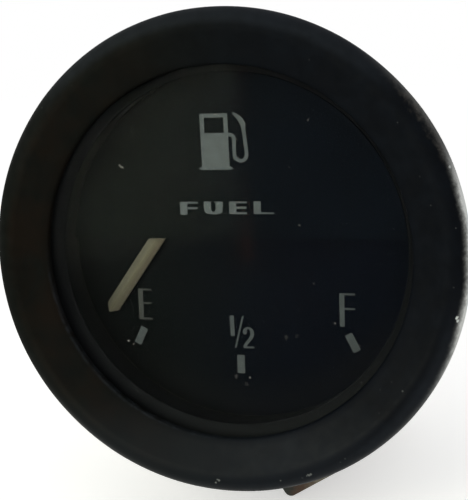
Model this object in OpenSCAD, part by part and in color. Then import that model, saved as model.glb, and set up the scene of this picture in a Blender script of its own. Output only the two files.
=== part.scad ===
// Round panel gauge for the fuel level, thermal type: a current through a heater bends a
// bimetal strip, and the strip's fork turns the pointer's arbor by a short crank.
// Sizes are in millimetres. The modules draw the gauge face up: x to the right and y up
// the dial, z towards the driver, with z = 0 on the front of the panel. stand() then turns
// it upright, so that the dial faces -Y and the 12 o'clock side is +Z.

/* [Panel and clamp] */
// Diameter of the hole in the panel
panel_hole_d = 52; // [50:0.5:53]
// Thickness of the panel between bezel and clamp
panel_t = 2; // [1:0.25:3]
// Distance between the two mounting studs
stud_pitch = 30; // [27:0.5:31]
// Diameter of a mounting stud
stud_d = 4; // [3:0.1:4.5]
// How far the line through the two studs passes beside the gauge's axis
stud_line = 6.5; // [5.5:0.25:7]
// Width of the clamp strap
clamp_w = 12.8; // [11:0.2:13.2]
// Thickness of the clamp strap
clamp_t = 1.6; // [1.2:0.1:2]
// Length of a clamp leg from its foot to the front of the clamp's base
clamp_leg_l = 33; // [32.5:0.25:36]
// How far a clamp foot is turned out beyond its leg
clamp_toe = 1.7; // [0.8:0.1:2.5]
// How far the clamp sits off centre, towards its lower foot
clamp_shift = 1.2; // [0:0.1:1.4]
// How far the clamp can be backed off along its studs
clamp_travel = 4; // [2:0.5:6]
// Diameter of a knurled nut
nut_d = 10; // [8.5:0.25:12]
// Height of a knurled nut
nut_h = 6; // [5:0.25:7]
// Thickness of a spring washer
washer_t = 1; // [0.6:0.1:1.4]

/* [Bezel and glass] */
// Outer diameter of the bezel
bezel_d = 60; // [59:0.25:64]
// Height of the bezel's crest above the panel
crest_h = 7.4; // [7:0.1:8.5]
// Outer radius of the bezel's rounded rim
crest_r = 2.1; // [1.6:0.1:2.6]
// Thickness of the bezel's sheet metal
sheet_t = 0.8; // [0.5:0.05:0.9]
// Diameter of the opening inside the bezel's lip
lip_d = 46.6; // [44:0.2:48]
// Arc of each of the three claws, in degrees
claw_arc = 20; // [12:1:26]
// Thickness of the glass
glass_t = 1.7; // [1.4:0.1:2]
// Thickness of the rubber gasket under the glass
gasket_t = 0.45; // [0.3:0.05:0.6]
// Width of the rubber gasket
gasket_w = 2.4; // [1.8:0.1:3]

/* [Case] */
// Depth of the case behind the front of the panel
case_depth = 30; // [29:0.25:32]
// Wall of the case
case_t = 0.6; // [0.4:0.05:0.8]
// Thickness of the case's front flange
flange_t = 0.7; // [0.5:0.05:0.9]
// Outer radius of the corner between barrel and rear face
corner_r = 1.2; // [0.9:0.1:1.3]

/* [Dial] */
// Depth of the dial's face behind the front of the panel
dial_depth = 3.55; // [3:0.05:4.2]
// Thickness of the dial plate
dial_t = 0.8; // [0.5:0.05:1]
// Height of the raised mask's face above the dial
mask_lift = 2; // [1.9:0.05:2.3]
// Thickness of the mask
mask_t = 0.5; // [0.3:0.05:0.6]
// Height of the mask's lower edge above the centre of the dial
mask_edge_y = 1.2; // [0:0.1:3]
// Diameter inside the trim ring at its front
trim_front_d = 44.8; // [43:0.2:45.2]
// Diameter inside the trim ring at the dial
trim_dial_d = 46.3; // [45.4:0.1:46.8]
// Thickness of the trim ring's sheet metal
trim_t = 0.5; // [0.3:0.05:0.6]

/* [Pointer] */
// Height of the pointer's pivot above the centre of the dial
pivot_y = 16.5; // [16:0.1:16.8]
// Length of the pointer from its pivot to its tip
pointer_l = 31.7; // [29:0.1:33]
// Width of the pointer
pointer_w = 1.9; // [1.2:0.1:2.4]
// Thickness of the pointer along its middle crease
pointer_t = 0.45; // [0.3:0.05:0.55]
// Angle of the resting pointer, left of straight down
pointer_rest_a = 36; // [32:0.5:38]
// Whole swing of the pointer, in degrees
pointer_swing_a = 64; // [60:0.5:66]
// Diameter of the pointer's arbor
arbor_d = 1.5; // [1.2:0.1:1.8]

/* [Movement] */
// Radius of the crank on the arbor
crank_r = 2.5; // [2.2:0.05:2.8]
// Diameter of the crank's pin
crank_pin_d = 0.8; // [0.6:0.05:1]
// Height of the bimetal strip's bend relative to the centre of the dial
bend_y = -11; // [-12:0.25:-10]
// Distance between the two legs of the bimetal strip
leg_gap = 9; // [8.6:0.1:9.4]
// Thickness of the bimetal strip
strip_t = 0.3; // [0.2:0.05:0.4]
// Width of the bimetal strip
strip_w = 4; // [3:0.1:4.6]
// Height of the bimetal strip's middle line above the movement frame
strip_lift = 8.4; // [7.9:0.1:8.9]
// Turns of wire in the heater
heater_turns = 16; // [10:1:17]
// Diameter of the heater's covered wire
wire_d = 0.4; // [0.3:0.02:0.44]
// Thickness of the movement frame
frame_t = 1.2; // [0.8:0.1:1.4]
// Height of the movement frame above the inside of the case's rear
frame_lift = 3.8; // [3.4:0.1:4.2]
// Thickness of the two toothed quadrants
quadrant_t = 0.8; // [0.6:0.05:0.9]

/* [Lamp and terminals] */
// Diameter of the bulb holder's body
holder_d = 11; // [10.4:0.1:11.2]
// Diameter of the bulb
bulb_d = 9.2; // [8:0.1:9.4]
// Length of the bulb from the foot of its wedge to its tip
bulb_l = 22; // [20:0.5:24]
// Width of a blade terminal
blade_w = 6.3; // [4.8:0.1:6.3]
// Thickness of a blade terminal
blade_t = 0.8; // [0.5:0.05:1]
// Length of a blade terminal
blade_l = 8.5; // [7:0.5:10]
// Thickness of the outer insulator plate
insulator_t = 1.5; // [1:0.1:2]

/* [Hidden] */
$fn = 64;

// Clearances
slide_gap = 0.05;     // between flat faces that slide
run_gap = 0.05;       // radial, between a turning shaft and its bore
seat_gap = 0.1;       // between a part and the recess it sits in
hole_gap = 0.4;       // radial, between the barrel and the panel hole
edge_gap = 0.3;       // radial, between a disc and the ring around it
thread_gap = 0.05;    // radial, between a stud and its nut
cut = 0.5;            // how far a cutting tool passes the face it cuts

// Bezel, from the panel outwards
bezel_r = bezel_d / 2;
bezel_draft = 0.5;    // how much narrower the bezel is at the panel
foot_r = bezel_r - bezel_draft;
lip_r = lip_d / 2;
crest_c = [bezel_r - crest_r, crest_h - crest_r];
flange_z0 = sheet_t + slide_gap;
flange_z1 = flange_z0 + flange_t;
trim_z1 = flange_z1 + trim_t;
gasket_z1 = trim_z1 + gasket_t;
glass_z1 = gasket_z1 + glass_t;
lip_in = [lip_r, glass_z1 + seat_gap];
cone_a = atan2(crest_c.y - lip_in.y, crest_c.x - lip_in.x)
       + asin((crest_r - sheet_t) / norm(crest_c - lip_in));
cone_n = [-sin(cone_a), cos(cone_a)];
function wall_r(z) = foot_r + (bezel_r - foot_r) * z / crest_c.y;
glass_r = wall_r(gasket_z1) - sheet_t - edge_gap;
claw_reach = 1.2;
claw_play = 2;        // degrees at each end of a notch
bezel_turn_a = 30;    // turn from locked to the notches

// Case
barrel_r = panel_hole_d / 2 - hole_gap;
bore_r = barrel_r - case_t;
flange_r = foot_r - sheet_t - edge_gap;
rear_z = -case_depth;
floor_z = rear_z + case_t;
frame_z0 = floor_z + frame_lift;
frame_z1 = frame_z0 + frame_t;
claw_r0 = flange_r - claw_reach;

// Dial and mask
dial_z = -dial_depth;
dial_back_z = dial_z - dial_t;
mask_z = dial_z + mask_lift;
mask_back_z = mask_z - mask_t;
dial_r = bore_r - edge_gap;
trim_r0 = trim_front_d / 2;
trim_r1 = trim_dial_d / 2;
function trim_r(z) = trim_r0 + (trim_r1 - trim_r0) * (trim_z1 - z) / (trim_z1 - dial_z);
mask_r = trim_r(mask_z) - edge_gap;
spacer_r = 1.5;
spacer_at = [[-17, 6], [17, 6], [0, 21]];
screw_at = [[-9.5, 18.8], [9.5, 18.8]];
dial_screw_r = 1.2;
dial_screw_head_r = 1.65;
dial_screw_head_h = 0.9;
dial_screw_l = 3.2;
pillar_r = 1.8;

// Pointer and arbor
pivot = [0, pivot_y];
arbor_r = arbor_d / 2;
pointer_lift = 0.6;
pointer_z0 = dial_z + pointer_lift;
pointer_hub_r = 2.2;
pointer_hub_h = 0.35;
pointer_tail = 2.6;
crank_a = -pointer_swing_a / 2;
crank_pin = pivot + crank_r * [sin(crank_a), -cos(crank_a)];
crank_t = 0.8;
crank_gap = 0.6;      // between the strip's edge and the crank
crank_hub_w = 0.9;
crank_arm_in = 0.2;   // where the crank's arm starts, inside its hub
crank_eye_w = 0.5;    // metal round the crank's pin
pin_over = 0.6;       // pin beyond the fork
collar_gap = 0.9;     // between the quadrants' clip and the arbor's collar
collar_h = 0.6;
collar_w = 0.5;
arbor_tail = 0.1;     // arbor beyond the rear bush
strip_z = frame_z1 + strip_lift;
crank_z1 = strip_z + strip_w / 2 + crank_gap + crank_t;

// Bimetal strip: the active leg leans towards the crank's pin
bend_r = leg_gap / 2;
hinge_gap = 0.1;      // between the two legs at the bend, where the strip flexes
flex_at = [0, bend_y + hinge_gap + strip_t / 2];
leg_a = atan2(flex_at.x - crank_pin.x, crank_pin.y - flex_at.y);
leg_l = norm(crank_pin - flex_at);
fork_gap = 0.2;       // on each side of the crank's pin
fork_w = 1;
tine_t = 0.3;
tine_l = 3.6;
tine_over = 0.7;      // tine beyond the pin's middle
fork_base_h = 0.8;

// Heater
sleeve_y0 = 4;
sleeve_t = 0.35;
coil_pitch = 0.9;
coil_margin = 0.7;
coil_gap = 0.1;
coil_corner = 3;      // points round each of a turn's four corners
coil_sides = 6;

// Movement frame and quadrants
frame_edge = 1.2;     // between the frame's rim and the case's wall
frame_r = bore_r - frame_edge;
frame_lamp_gap = 0.7; // between the bulb holder and its notch in the frame
window_lo = [2.5, -17];
window_hi = [12.5, -5];
window_r = 2;
zero_z0 = frame_z1 + slide_gap;
zero_z1 = zero_z0 + quadrant_t;
span_z0 = zero_z1 + slide_gap;
span_z1 = span_z0 + quadrant_t;
bush_r = 1.8;
bush_head_r = 2.7;
bush_head_t = 0.6;
clip_r = 2.9;
clip_t = 0.4;
hub_r = 3.4;
span_pivot = [-leg_gap, 14];
span_hub_r = 2.2;
pivot_rivet_r = 1;
pivot_rivet_head_r = 1.9;
pivot_rivet_head_h = 0.5;
zero_key = [-19.6, 8.4];
span_key = [-20.6, 3];
key_r = 1;            // pitch radius of the setting key's pegs
key_pilot_r = 0.8;
zero_teeth_r = norm(zero_key - pivot) - key_r;
span_teeth_r = norm(span_key - span_pivot) - key_r;
tooth_pitch = 0.9;
tooth_h = 0.6;
tab_t = 0.8;
tab_y0 = 8.5;
tab_y1 = 11.7;
tab_back = 2;
rivet_y = (tab_y0 + tab_y1) / 2;
anchor_rivet_r = 0.8;
anchor_head_r = 1.35;
anchor_head_h = 0.5;
zero_arm_w = 3.6;
zero_rim_w = 4;
span_arm_w = 3;
span_rim_w = 3.4;
rim_overlap = 0.8;    // how far an arm runs into its rim

// Arbor bridge
bridge_t = 0.8;
bridge_gap = 3.85;    // between the dial's back and the bridge
bridge_z1 = dial_back_z - bridge_gap;
bridge_w = 7.6;
bridge_crank_gap = 1; // between the crank's circle and the bridge's leg
bridge_leg_y = pivot_y + crank_r + crank_pin_d / 2 + bridge_crank_gap;
bridge_edge = 1.9;    // between the bridge's foot and the case's wall
bridge_foot_y = bore_r - bridge_edge;
bridge_rivet_in = 1.1;
bridge_rivet_y = bridge_leg_y + bridge_t + bridge_rivet_in;
bridge_rivet_x = 2.4;
bridge_rivet_r = 0.6;
bridge_rivet_head_w = 0.4;

// Screws that hold the movement to the case's rear
move_screw_v = 8;
move_screw_r = 1.5;
move_screw_head_r = 2.8;
move_screw_head_h = 1.4;
frame_spacer_r = 3;

// Rear fittings are placed along the clamp's strap (u) and across it (v)
clamp_dir = 32;           // degrees from straight down towards +x
stud_r = stud_d / 2;
clamp_w2 = clamp_w / 2;
clamp_gap = 1.6;      // between the barrel and a leg, measured on the strap's centre
clamp_in = barrel_r + clamp_gap;
clamp_out = clamp_in + clamp_t;
foot_z = -panel_t - slide_gap;
base_z1 = foot_z - clamp_leg_l;
base_z0 = base_z1 - clamp_t;
clamp_bend_r = 1;
clamp_corner_r = 0.9;
slot_gap = 0.25;      // radial, between a stud and its slot
slot_play = 1.6;
washer_z0 = base_z0 - washer_t;
washer_r = 3.8;
washer_hole_gap = 0.2;
washer_slit_w = 0.6;
washer_slit_a = 25;
nut_z0 = washer_z0 - nut_h;
nut_r = nut_d / 2;
nut_neck_h = 2;
nut_step = 1.3;       // how much narrower the neck is than the wheel
knurl_r = 0.45;
knurl_count = 30;
stud_tail = 1.5;
stud_end_z = nut_z0 - clamp_travel - stud_tail;
stud_head_r = 3;
stud_head_t = 1;

// Lamp
holder_r = holder_d / 2;
holder_edge = 2.1;    // between the bulb holder and the case's wall
holder_v = bore_r - holder_r - holder_edge;
holder_hole_r = holder_r + seat_gap;
holder_wall = 0.6;
holder_screw_gap = 0.4;
holder_flange_r = holder_v - move_screw_v - move_screw_head_r - holder_screw_gap;
holder_flange_t = 0.8;
holder_tail = 7.5;    // holder behind the case
holder_nose = 2.4;    // holder inside the case
holder_floor_t = 1.5;
holder_back_z = rear_z - holder_tail;
holder_front_z = floor_z + holder_nose;
bulb_r = bulb_d / 2;
bulb_lift = 3.5;      // between the holder's floor and the bulb's wedge
bulb_z0 = holder_back_z + holder_floor_t + bulb_lift;
bulb_z1 = bulb_z0 + bulb_l;
wedge_t = 2.6;
shoulder_r = 0.9;
wedge_in = 0.3;       // between the wedge's side and the bulb's shoulder
wedge_w = bulb_d - 2 * shoulder_r - 2 * wedge_in;
wedge_h = 5.5;
contact_t = 0.3;
contact_w = 3;
contact_h = 6.5;
lamp_blade_w = 4.8;
lamp_blade_l = 6;
lamp_hole_r = 0.7;
lamp_hole_l = 2;      // from the lamp blade's tip to its hole

// Terminals and earth tab
insulator_u = 10.5;
insulator_edge = 4.4; // between the insulator and the case's wall, on its middle line
insulator_v0 = insulator_edge - bore_r;
insulator_v1 = insulator_v0 + 8.2;
insulator_corner_r = 1.5;
inner_insulator_t = 1.2;
insulator_boss_r = 2.3;
terminal_u = 5.6;
terminal_v0 = insulator_v0 + 0.8;
terminal_v1 = insulator_v1 - 0.5;
terminal_rivet_in = 2.7; // between a terminal's edge and its rivet
terminal_rivet_v = terminal_v1 - terminal_rivet_in;
terminal_rivet_r = 1.4;
terminal_head_r = 2.4;
terminal_head_h = 0.9;
earth_u = 11;
earth_v0 = 11;
earth_v1 = 17.5;
earth_rivet_v = 13.6;
earth_rivet_r = 1.2;
earth_head_w = 0.9;
earth_head_h = 0.7;
blade_bevel = 1.1;
blade_hole_r = 0.9;
blade_hole_l = 3;     // from a blade's tip to its hole
plug_r = 1.7;
plug_head_r = 2.1;
plug_head_t = 0.8;
plug_tail = 0.5;

black = "#17181a";
steel = "#a9adb0";
zinc = "#b9b29a";
brass = "#b8934a";
cream = "#b9b8a8";
bakelite = "#5a3a22";
rubber = "#26262a";

// Turns the face-up gauge upright
module stand() {
    rotate([90, 0, 0]) children();
}

// Draws in the clamp's own directions: x along the strap, y across it
module along_strap() {
    rotate([0, 0, clamp_dir - 90]) children();
}

// The same with its origin halfway between the studs
module between_studs() {
    along_strap() translate([0, -stud_line]) children();
}

// Draws once at each stud
module at_studs() {
    for (s = [-1, 1]) translate([s * stud_pitch / 2, 0]) children();
}

// A disc from z0 up to z1
module disc(r, z0, z1) {
    translate([0, 0, z0]) cylinder(r = r, h = z1 - z0);
}

// A ring from z0 up to z1
module ring(r_out, r_in, z0, z1) {
    difference() {
        disc(r_out, z0, z1);
        disc(r_in, z0 - cut, z1 + cut);
    }
}

// A flat wedge from angle a0 to a1, for cutting arcs out of rings
module wedge(r, a0, a1, z0, z1) {
    am = (a0 + a1) / 2;
    far = r / cos((a1 - a0) / 2) + 1;
    translate([0, 0, z0]) linear_extrude(z1 - z0)
        polygon([[0, 0], far * [cos(a0), sin(a0)], far * [cos(am), sin(am)], far * [cos(a1), sin(a1)]]);
}

// A rectangle with rounded corners, from corner lo to corner hi
module round_rect(lo, hi, r) {
    translate([lo.x, lo.y + r]) square([hi.x - lo.x, hi.y - lo.y - 2 * r]);
    translate([lo.x + r, lo.y]) square([hi.x - lo.x - 2 * r, hi.y - lo.y]);
    for (x = [lo.x + r, hi.x - r], y = [lo.y + r, hi.y - r])
        translate([x, y]) circle(r = r);
}

// Everything under the bezel's sheet at a depth inset from its outer face
module bezel_fill(inset, reach) {
    r0 = lip_r - reach;
    tangent = crest_c + (crest_r - inset) * cone_n;
    translate(crest_c) circle(r = crest_r - inset);
    polygon([
        [r0, -reach], [r0, tangent.y - (tangent.x - r0) * tan(cone_a)], tangent, crest_c,
        [bezel_r - inset, crest_c.y], [wall_r(-reach) - inset, -reach]
    ]);
}

module bezel() {
    color(black) stand() {
        rotate_extrude() difference() {
            bezel_fill(0, 0);
            bezel_fill(sheet_t, 1);
        }
        for (i = [0:2]) rotate([0, 0, 120 * i + 30]) intersection() {
            ring(wall_r(0) - sheet_t / 2, claw_r0, 0, sheet_t);
            wedge(bezel_r, -claw_arc / 2, claw_arc / 2, 0, sheet_t);
        }
    }
}

module glass() {
    bevel = 0.25;
    color("#cfd8dc", 0.3) stand() rotate_extrude() polygon([
        [0, gasket_z1], [glass_r - bevel, gasket_z1], [glass_r, gasket_z1 + bevel],
        [glass_r, glass_z1 - bevel], [glass_r - bevel, glass_z1], [0, glass_z1]
    ]);
}

module glass_gasket() {
    r = glass_r - edge_gap;
    color(rubber) stand() ring(r, r - gasket_w, trim_z1, gasket_z1);
}

module trim_ring() {
    foot_t = trim_t + 0.1;
    color(black) stand() rotate_extrude() polygon([
        [trim_r0, trim_z1 - 0.15], [trim_r1, dial_z], [bore_r - seat_gap, dial_z],
        [bore_r - seat_gap, dial_z + foot_t], [trim_r(dial_z + foot_t) + trim_t, dial_z + foot_t],
        [trim_r(flange_z1) + trim_t, flange_z1], [flange_r - edge_gap, flange_z1],
        [flange_r - edge_gap, trim_z1], [trim_r0 + 0.15, trim_z1]
    ]);
}

// Cross-section of the can's inside or outside, set in by inset
module can_fill(inset, top) {
    r = barrel_r - inset;
    z0 = rear_z + inset;
    c = corner_r - inset;
    translate([0, z0]) square([r - c, top - z0]);
    translate([0, z0 + c]) square([r, top - z0 - c]);
    translate([r - c, z0 + c]) circle(r = c);
}

module case_can() {
    notch_a = claw_arc / 2 + claw_play;
    color(zinc) stand() difference() {
        union() {
            rotate_extrude() difference() {
                can_fill(0, flange_z1);
                can_fill(case_t, flange_z1 + cut);
            }
            ring(flange_r, barrel_r - case_t / 2, flange_z0, flange_z1);
        }
        for (i = [0:2]) rotate([0, 0, 120 * i + 30 + bezel_turn_a]) intersection() {
            ring(flange_r + 1, claw_r0 - edge_gap, flange_z0 - cut, flange_z1 + cut);
            wedge(flange_r + 1, -notch_a, notch_a, flange_z0 - 2 * cut, flange_z1 + 2 * cut);
        }
        between_studs() at_studs() rear_hole(stud_r + thread_gap);
        along_strap() {
            for (s = [-1, 1]) {
                translate([0, s * move_screw_v]) rear_hole(move_screw_r + seat_gap);
                translate([s * terminal_u, terminal_rivet_v]) rear_hole(insulator_boss_r + seat_gap);
            }
            translate([0, holder_v]) rear_hole(holder_hole_r);
            translate([earth_u, earth_rivet_v]) rear_hole(earth_rivet_r + thread_gap);
        }
        translate(zero_key) rear_hole(plug_r + thread_gap);
        translate(span_key) rear_hole(plug_r + thread_gap);
    }
}

// A hole through the case's rear face
module rear_hole(r) {
    disc(r, rear_z - cut, floor_z + cut);
}

module dial_plate() {
    color(black) stand() difference() {
        disc(dial_r, dial_back_z, dial_z);
        translate(pivot) disc(arbor_r + 0.8, dial_back_z - cut, dial_z + cut);
        for (p = screw_at) translate(p) disc(dial_screw_r + seat_gap, dial_back_z - cut, dial_z + cut);
    }
}

module dial_mask() {
    color(black) stand() intersection() {
        disc(mask_r, mask_back_z, mask_z);
        translate([-mask_r - cut, mask_edge_y, mask_back_z - cut])
            cube([2 * (mask_r + cut), mask_r + cut, mask_t + 2 * cut]);
    }
}

module mask_spacers() {
    color(steel) stand() for (p = spacer_at) translate(p) disc(spacer_r, dial_z, mask_back_z);
}

module dial_screws() {
    slot_w = 0.4;
    slot_h = 0.4;
    head_r = dial_screw_head_r;
    color(steel) stand() for (p = screw_at) translate(p) difference() {
        union() {
            disc(dial_screw_r, dial_z - dial_screw_l, dial_z + 0.1);
            disc(head_r, dial_z, dial_z + dial_screw_head_h);
        }
        translate([-head_r - cut, -slot_w / 2, dial_z + dial_screw_head_h - slot_h])
            cube([2 * (head_r + cut), slot_w, slot_h + cut]);
    }
}

module dial_pillars() {
    bore_l = dial_screw_l - dial_t + 0.5;
    color(steel) stand() for (p = screw_at) translate(p) difference() {
        disc(pillar_r, frame_z1, dial_back_z);
        disc(dial_screw_r + thread_gap, dial_back_z - bore_l, dial_back_z + cut);
    }
}

// The blade is a shallow ridge along its middle, with a blunt point
module pointer() {
    half = pointer_w / 2;
    edge_t = pointer_t * 0.6;
    color(cream) stand() translate(pivot) rotate([0, 0, -pointer_rest_a - 90]) difference() {
        union() {
            intersection() {
                translate([-pointer_tail, 0, pointer_z0]) rotate([90, 0, 90])
                    linear_extrude(pointer_l + pointer_tail)
                        polygon([[-half, 0], [half, 0], [half, edge_t], [0, pointer_t], [-half, edge_t]]);
                translate([0, 0, pointer_z0 - cut]) linear_extrude(pointer_t + 2 * cut) polygon([
                    [-pointer_tail, -half], [pointer_l - half, -half], [pointer_l, 0],
                    [pointer_l - half, half], [-pointer_tail, half]
                ]);
            }
            disc(pointer_hub_r, pointer_z0 - pointer_hub_h + 0.01, pointer_z0 + pointer_t);
        }
        disc(arbor_r, pointer_z0 - 1, pointer_z0 + 1);
    }
}

module pointer_arbor() {
    r = arbor_r;
    end_z = frame_z0 - bush_head_t - arbor_tail;
    collar_z = zero_z1 + clip_t + collar_gap;
    hub_r = arbor_r + crank_hub_w;
    crank_z0 = crank_z1 - crank_t;
    pin_z0 = strip_z - fork_w / 2 - pin_over;
    color(steel) stand() {
        translate(pivot) rotate_extrude() polygon([
            [0, end_z], [r, end_z], [r, collar_z], [r + collar_w, collar_z],
            [r + collar_w, collar_z + collar_h], [r, collar_z + collar_h],
            [r, crank_z0], [hub_r, crank_z0], [hub_r, crank_z1], [r, crank_z1],
            [r, pointer_z0 + pointer_t], [0, pointer_z0 + pointer_t]
        ]);
        translate(pivot) rotate([0, 0, crank_a - 90]) translate([0, 0, crank_z0]) linear_extrude(crank_t) {
            translate([r + crank_arm_in, -r]) square([crank_r - r - crank_arm_in, 2 * r]);
            translate([crank_r, 0]) circle(r = crank_pin_d / 2 + crank_eye_w);
        }
        translate(crank_pin) disc(crank_pin_d / 2, pin_z0, crank_z0 + crank_t / 2);
    }
}

module arbor_bridge() {
    color(steel) stand() difference() {
        union() {
            translate([-bridge_w / 2, pivot_y, bridge_z1 - bridge_t])
                cube([bridge_w, bridge_leg_y + bridge_t - pivot_y, bridge_t]);
            translate(pivot) disc(bridge_w / 2, bridge_z1 - bridge_t, bridge_z1);
            translate([-bridge_w / 2, bridge_leg_y, frame_z1])
                cube([bridge_w, bridge_t, bridge_z1 - frame_z1]);
            translate([-bridge_w / 2, bridge_leg_y, frame_z1])
                cube([bridge_w, bridge_foot_y - bridge_leg_y, bridge_t]);
        }
        translate(pivot) disc(arbor_r + run_gap, bridge_z1 - bridge_t - cut, bridge_z1 + cut);
        for (s = [-1, 1]) translate([s * bridge_rivet_x, bridge_rivet_y])
            disc(bridge_rivet_r + thread_gap, frame_z1 - cut, frame_z1 + bridge_t + cut);
    }
}

module bridge_rivets() {
    head_h = bridge_rivet_head_w;
    head_r = bridge_rivet_r + bridge_rivet_head_w;
    color(brass) stand() for (s = [-1, 1]) translate([s * bridge_rivet_x, bridge_rivet_y]) {
        disc(bridge_rivet_r, frame_z0 - head_h, frame_z1 + bridge_t + head_h);
        disc(head_r, frame_z0 - head_h, frame_z0);
        disc(head_r, frame_z1 + bridge_t, frame_z1 + bridge_t + head_h);
    }
}

module rear_bush() {
    color(brass) stand() translate(pivot) difference() {
        union() {
            disc(bush_head_r, frame_z0 - bush_head_t, frame_z0);
            disc(bush_r, frame_z0 - bush_head_t, zero_z1 + clip_t + slide_gap);
        }
        disc(arbor_r + run_gap, frame_z0 - 2, zero_z1 + 2);
    }
}

module movement_frame() {
    lamp_r = holder_r + frame_lamp_gap;
    color(steel) stand() translate([0, 0, frame_z0]) difference() {
        cylinder(r = frame_r, h = frame_t);
        translate([0, 0, -cut]) {
            translate(pivot) cylinder(r = bush_r + thread_gap, h = frame_t + 2 * cut);
            translate(zero_key) cylinder(r = key_pilot_r, h = frame_t + 2 * cut);
            translate(span_key) cylinder(r = key_pilot_r, h = frame_t + 2 * cut);
            for (s = [-1, 1]) translate([s * bridge_rivet_x, bridge_rivet_y])
                cylinder(r = bridge_rivet_r + thread_gap, h = frame_t + 2 * cut);
            along_strap() {
                for (s = [-1, 1]) translate([0, s * move_screw_v])
                    cylinder(r = move_screw_r + thread_gap, h = frame_t + 2 * cut);
                translate([0, holder_v]) cylinder(r = lamp_r, h = frame_t + 2 * cut);
                translate([-lamp_r, holder_v]) cube([2 * lamp_r, frame_r, frame_t + 2 * cut]);
            }
            linear_extrude(frame_t + 2 * cut) round_rect(window_lo, window_hi, window_r);
        }
    }
}

module frame_spacers() {
    color(brass) stand() along_strap() for (s = [-1, 1]) translate([0, s * move_screw_v])
        ring(frame_spacer_r, move_screw_r + seat_gap, floor_z, frame_z0);
}

module movement_screws() {
    slot_w = 0.8;
    slot_h = 0.6;
    head_r = move_screw_head_r;
    head_z0 = rear_z - move_screw_head_h;
    color(steel) stand() along_strap() for (s = [-1, 1]) translate([0, s * move_screw_v]) difference() {
        union() {
            disc(move_screw_r, rear_z - 0.1, frame_z1 + 0.6);
            disc(head_r, head_z0, rear_z);
        }
        translate([-head_r - cut, -slot_w / 2, head_z0 - cut])
            cube([2 * (head_r + cut), slot_w, slot_h + cut]);
    }
}

module quadrant_clip() {
    color(steel) stand() translate(pivot) difference() {
        ring(clip_r, bush_r + thread_gap, zero_z1 + slide_gap, zero_z1 + slide_gap + clip_t);
        translate([-0.5, -clip_r - 1, zero_z1]) cube([1, clip_r, 1]);
    }
}

// Toothed sector around the origin, its middle on +x, from radius r0 to the teeth at r1
module toothed_sector(r0, r1, teeth, t) {
    step = tooth_pitch / r1 * 180 / PI;
    half_a = (teeth / 2 + 0.5) * step;
    difference() {
        intersection() {
            ring(r1, r0, 0, t);
            wedge(r1, -half_a, half_a, -cut, t + cut);
        }
        for (i = [0:teeth - 1]) rotate([0, 0, (i - (teeth - 1) / 2) * step])
            translate([r1 - tooth_h / 2 + 0.1, 0, -cut])
                rotate([0, 0, 180]) cylinder(r = tooth_h * 0.75, h = t + 2 * cut, $fn = 3);
    }
}

module zero_quadrant() {
    key_dir = zero_key - pivot;
    key_a = atan2(key_dir.y, key_dir.x);
    color(brass) stand() difference() {
        union() {
            translate(pivot) disc(hub_r, zero_z0, zero_z1);
            translate([pivot.x, pivot.y, zero_z0]) rotate([0, 0, key_a]) {
                translate([0, -zero_arm_w / 2])
                    cube([zero_teeth_r - zero_rim_w + rim_overlap, zero_arm_w, quadrant_t]);
                toothed_sector(zero_teeth_r - zero_rim_w, zero_teeth_r, 7, quadrant_t);
            }
            translate(span_pivot) disc(span_hub_r, zero_z0, zero_z1);
        }
        translate(pivot) disc(bush_r + run_gap, zero_z0 - cut, zero_z1 + cut);
        translate(span_pivot) disc(pivot_rivet_r + thread_gap / 2, zero_z0 - cut, zero_z1 + cut);
    }
}

module span_quadrant() {
    key_dir = span_key - span_pivot;
    key_a = atan2(key_dir.y, key_dir.x);
    tab_x = span_pivot.x + strip_t / 2;
    color(brass) stand() difference() {
        union() {
            translate(span_pivot) disc(span_hub_r, span_z0, span_z1);
            translate([span_pivot.x, span_pivot.y, span_z0]) rotate([0, 0, key_a]) {
                translate([0, -span_arm_w / 2])
                    cube([span_teeth_r - span_rim_w + rim_overlap, span_arm_w, quadrant_t]);
                toothed_sector(span_teeth_r - span_rim_w, span_teeth_r, 5, quadrant_t);
            }
            translate([tab_x - tab_back, tab_y0, span_z0])
                cube([tab_back + tab_t, span_pivot.y - tab_y0, quadrant_t]);
            translate([tab_x, tab_y0, span_z0])
                cube([tab_t, tab_y1 - tab_y0, strip_z + strip_w / 2 - span_z0]);
        }
        translate(span_pivot) disc(pivot_rivet_r + run_gap, span_z0 - cut, span_z1 + cut);
        translate([0, rivet_y, strip_z]) rotate([0, 90, 0])
            disc(anchor_rivet_r + thread_gap, tab_x - cut, tab_x + tab_t + cut);
    }
}

module span_pivot_rivet() {
    color(steel) stand() translate(span_pivot) {
        disc(pivot_rivet_r, zero_z0, span_z1 + slide_gap + 0.1);
        disc(pivot_rivet_head_r, span_z1 + slide_gap, span_z1 + slide_gap + pivot_rivet_head_h);
    }
}

// The fixed leg runs down from the span quadrant's tab and round the bend
module bimetal_anchor_leg() {
    z0 = strip_z - strip_w / 2;
    x = span_pivot.x;
    color("#9c8f72") stand() difference() {
        union() {
            translate([x - strip_t / 2, bend_y, z0]) cube([strip_t, tab_y1 - bend_y, strip_w]);
            translate([x + bend_r, bend_y]) intersection() {
                ring(bend_r + strip_t / 2, bend_r - strip_t / 2, z0, z0 + strip_w);
                translate([-bend_r - 1, -bend_r - 1, z0 - cut])
                    cube([2 * bend_r + 2, bend_r + 1, strip_w + 2 * cut]);
            }
        }
        translate([0, rivet_y, strip_z]) rotate([0, 90, 0])
            disc(anchor_rivet_r + thread_gap, x - 1, x + 1);
    }
}

module anchor_rivet() {
    x0 = span_pivot.x - strip_t / 2;
    x1 = span_pivot.x + strip_t / 2 + tab_t;
    color(steel) stand() translate([0, rivet_y, strip_z]) rotate([0, 90, 0]) {
        disc(anchor_rivet_r, x0 - anchor_head_h, x1 + anchor_head_h);
        disc(anchor_head_r, x0 - anchor_head_h, x0);
        disc(anchor_head_r, x1, x1 + anchor_head_h);
    }
}

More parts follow.
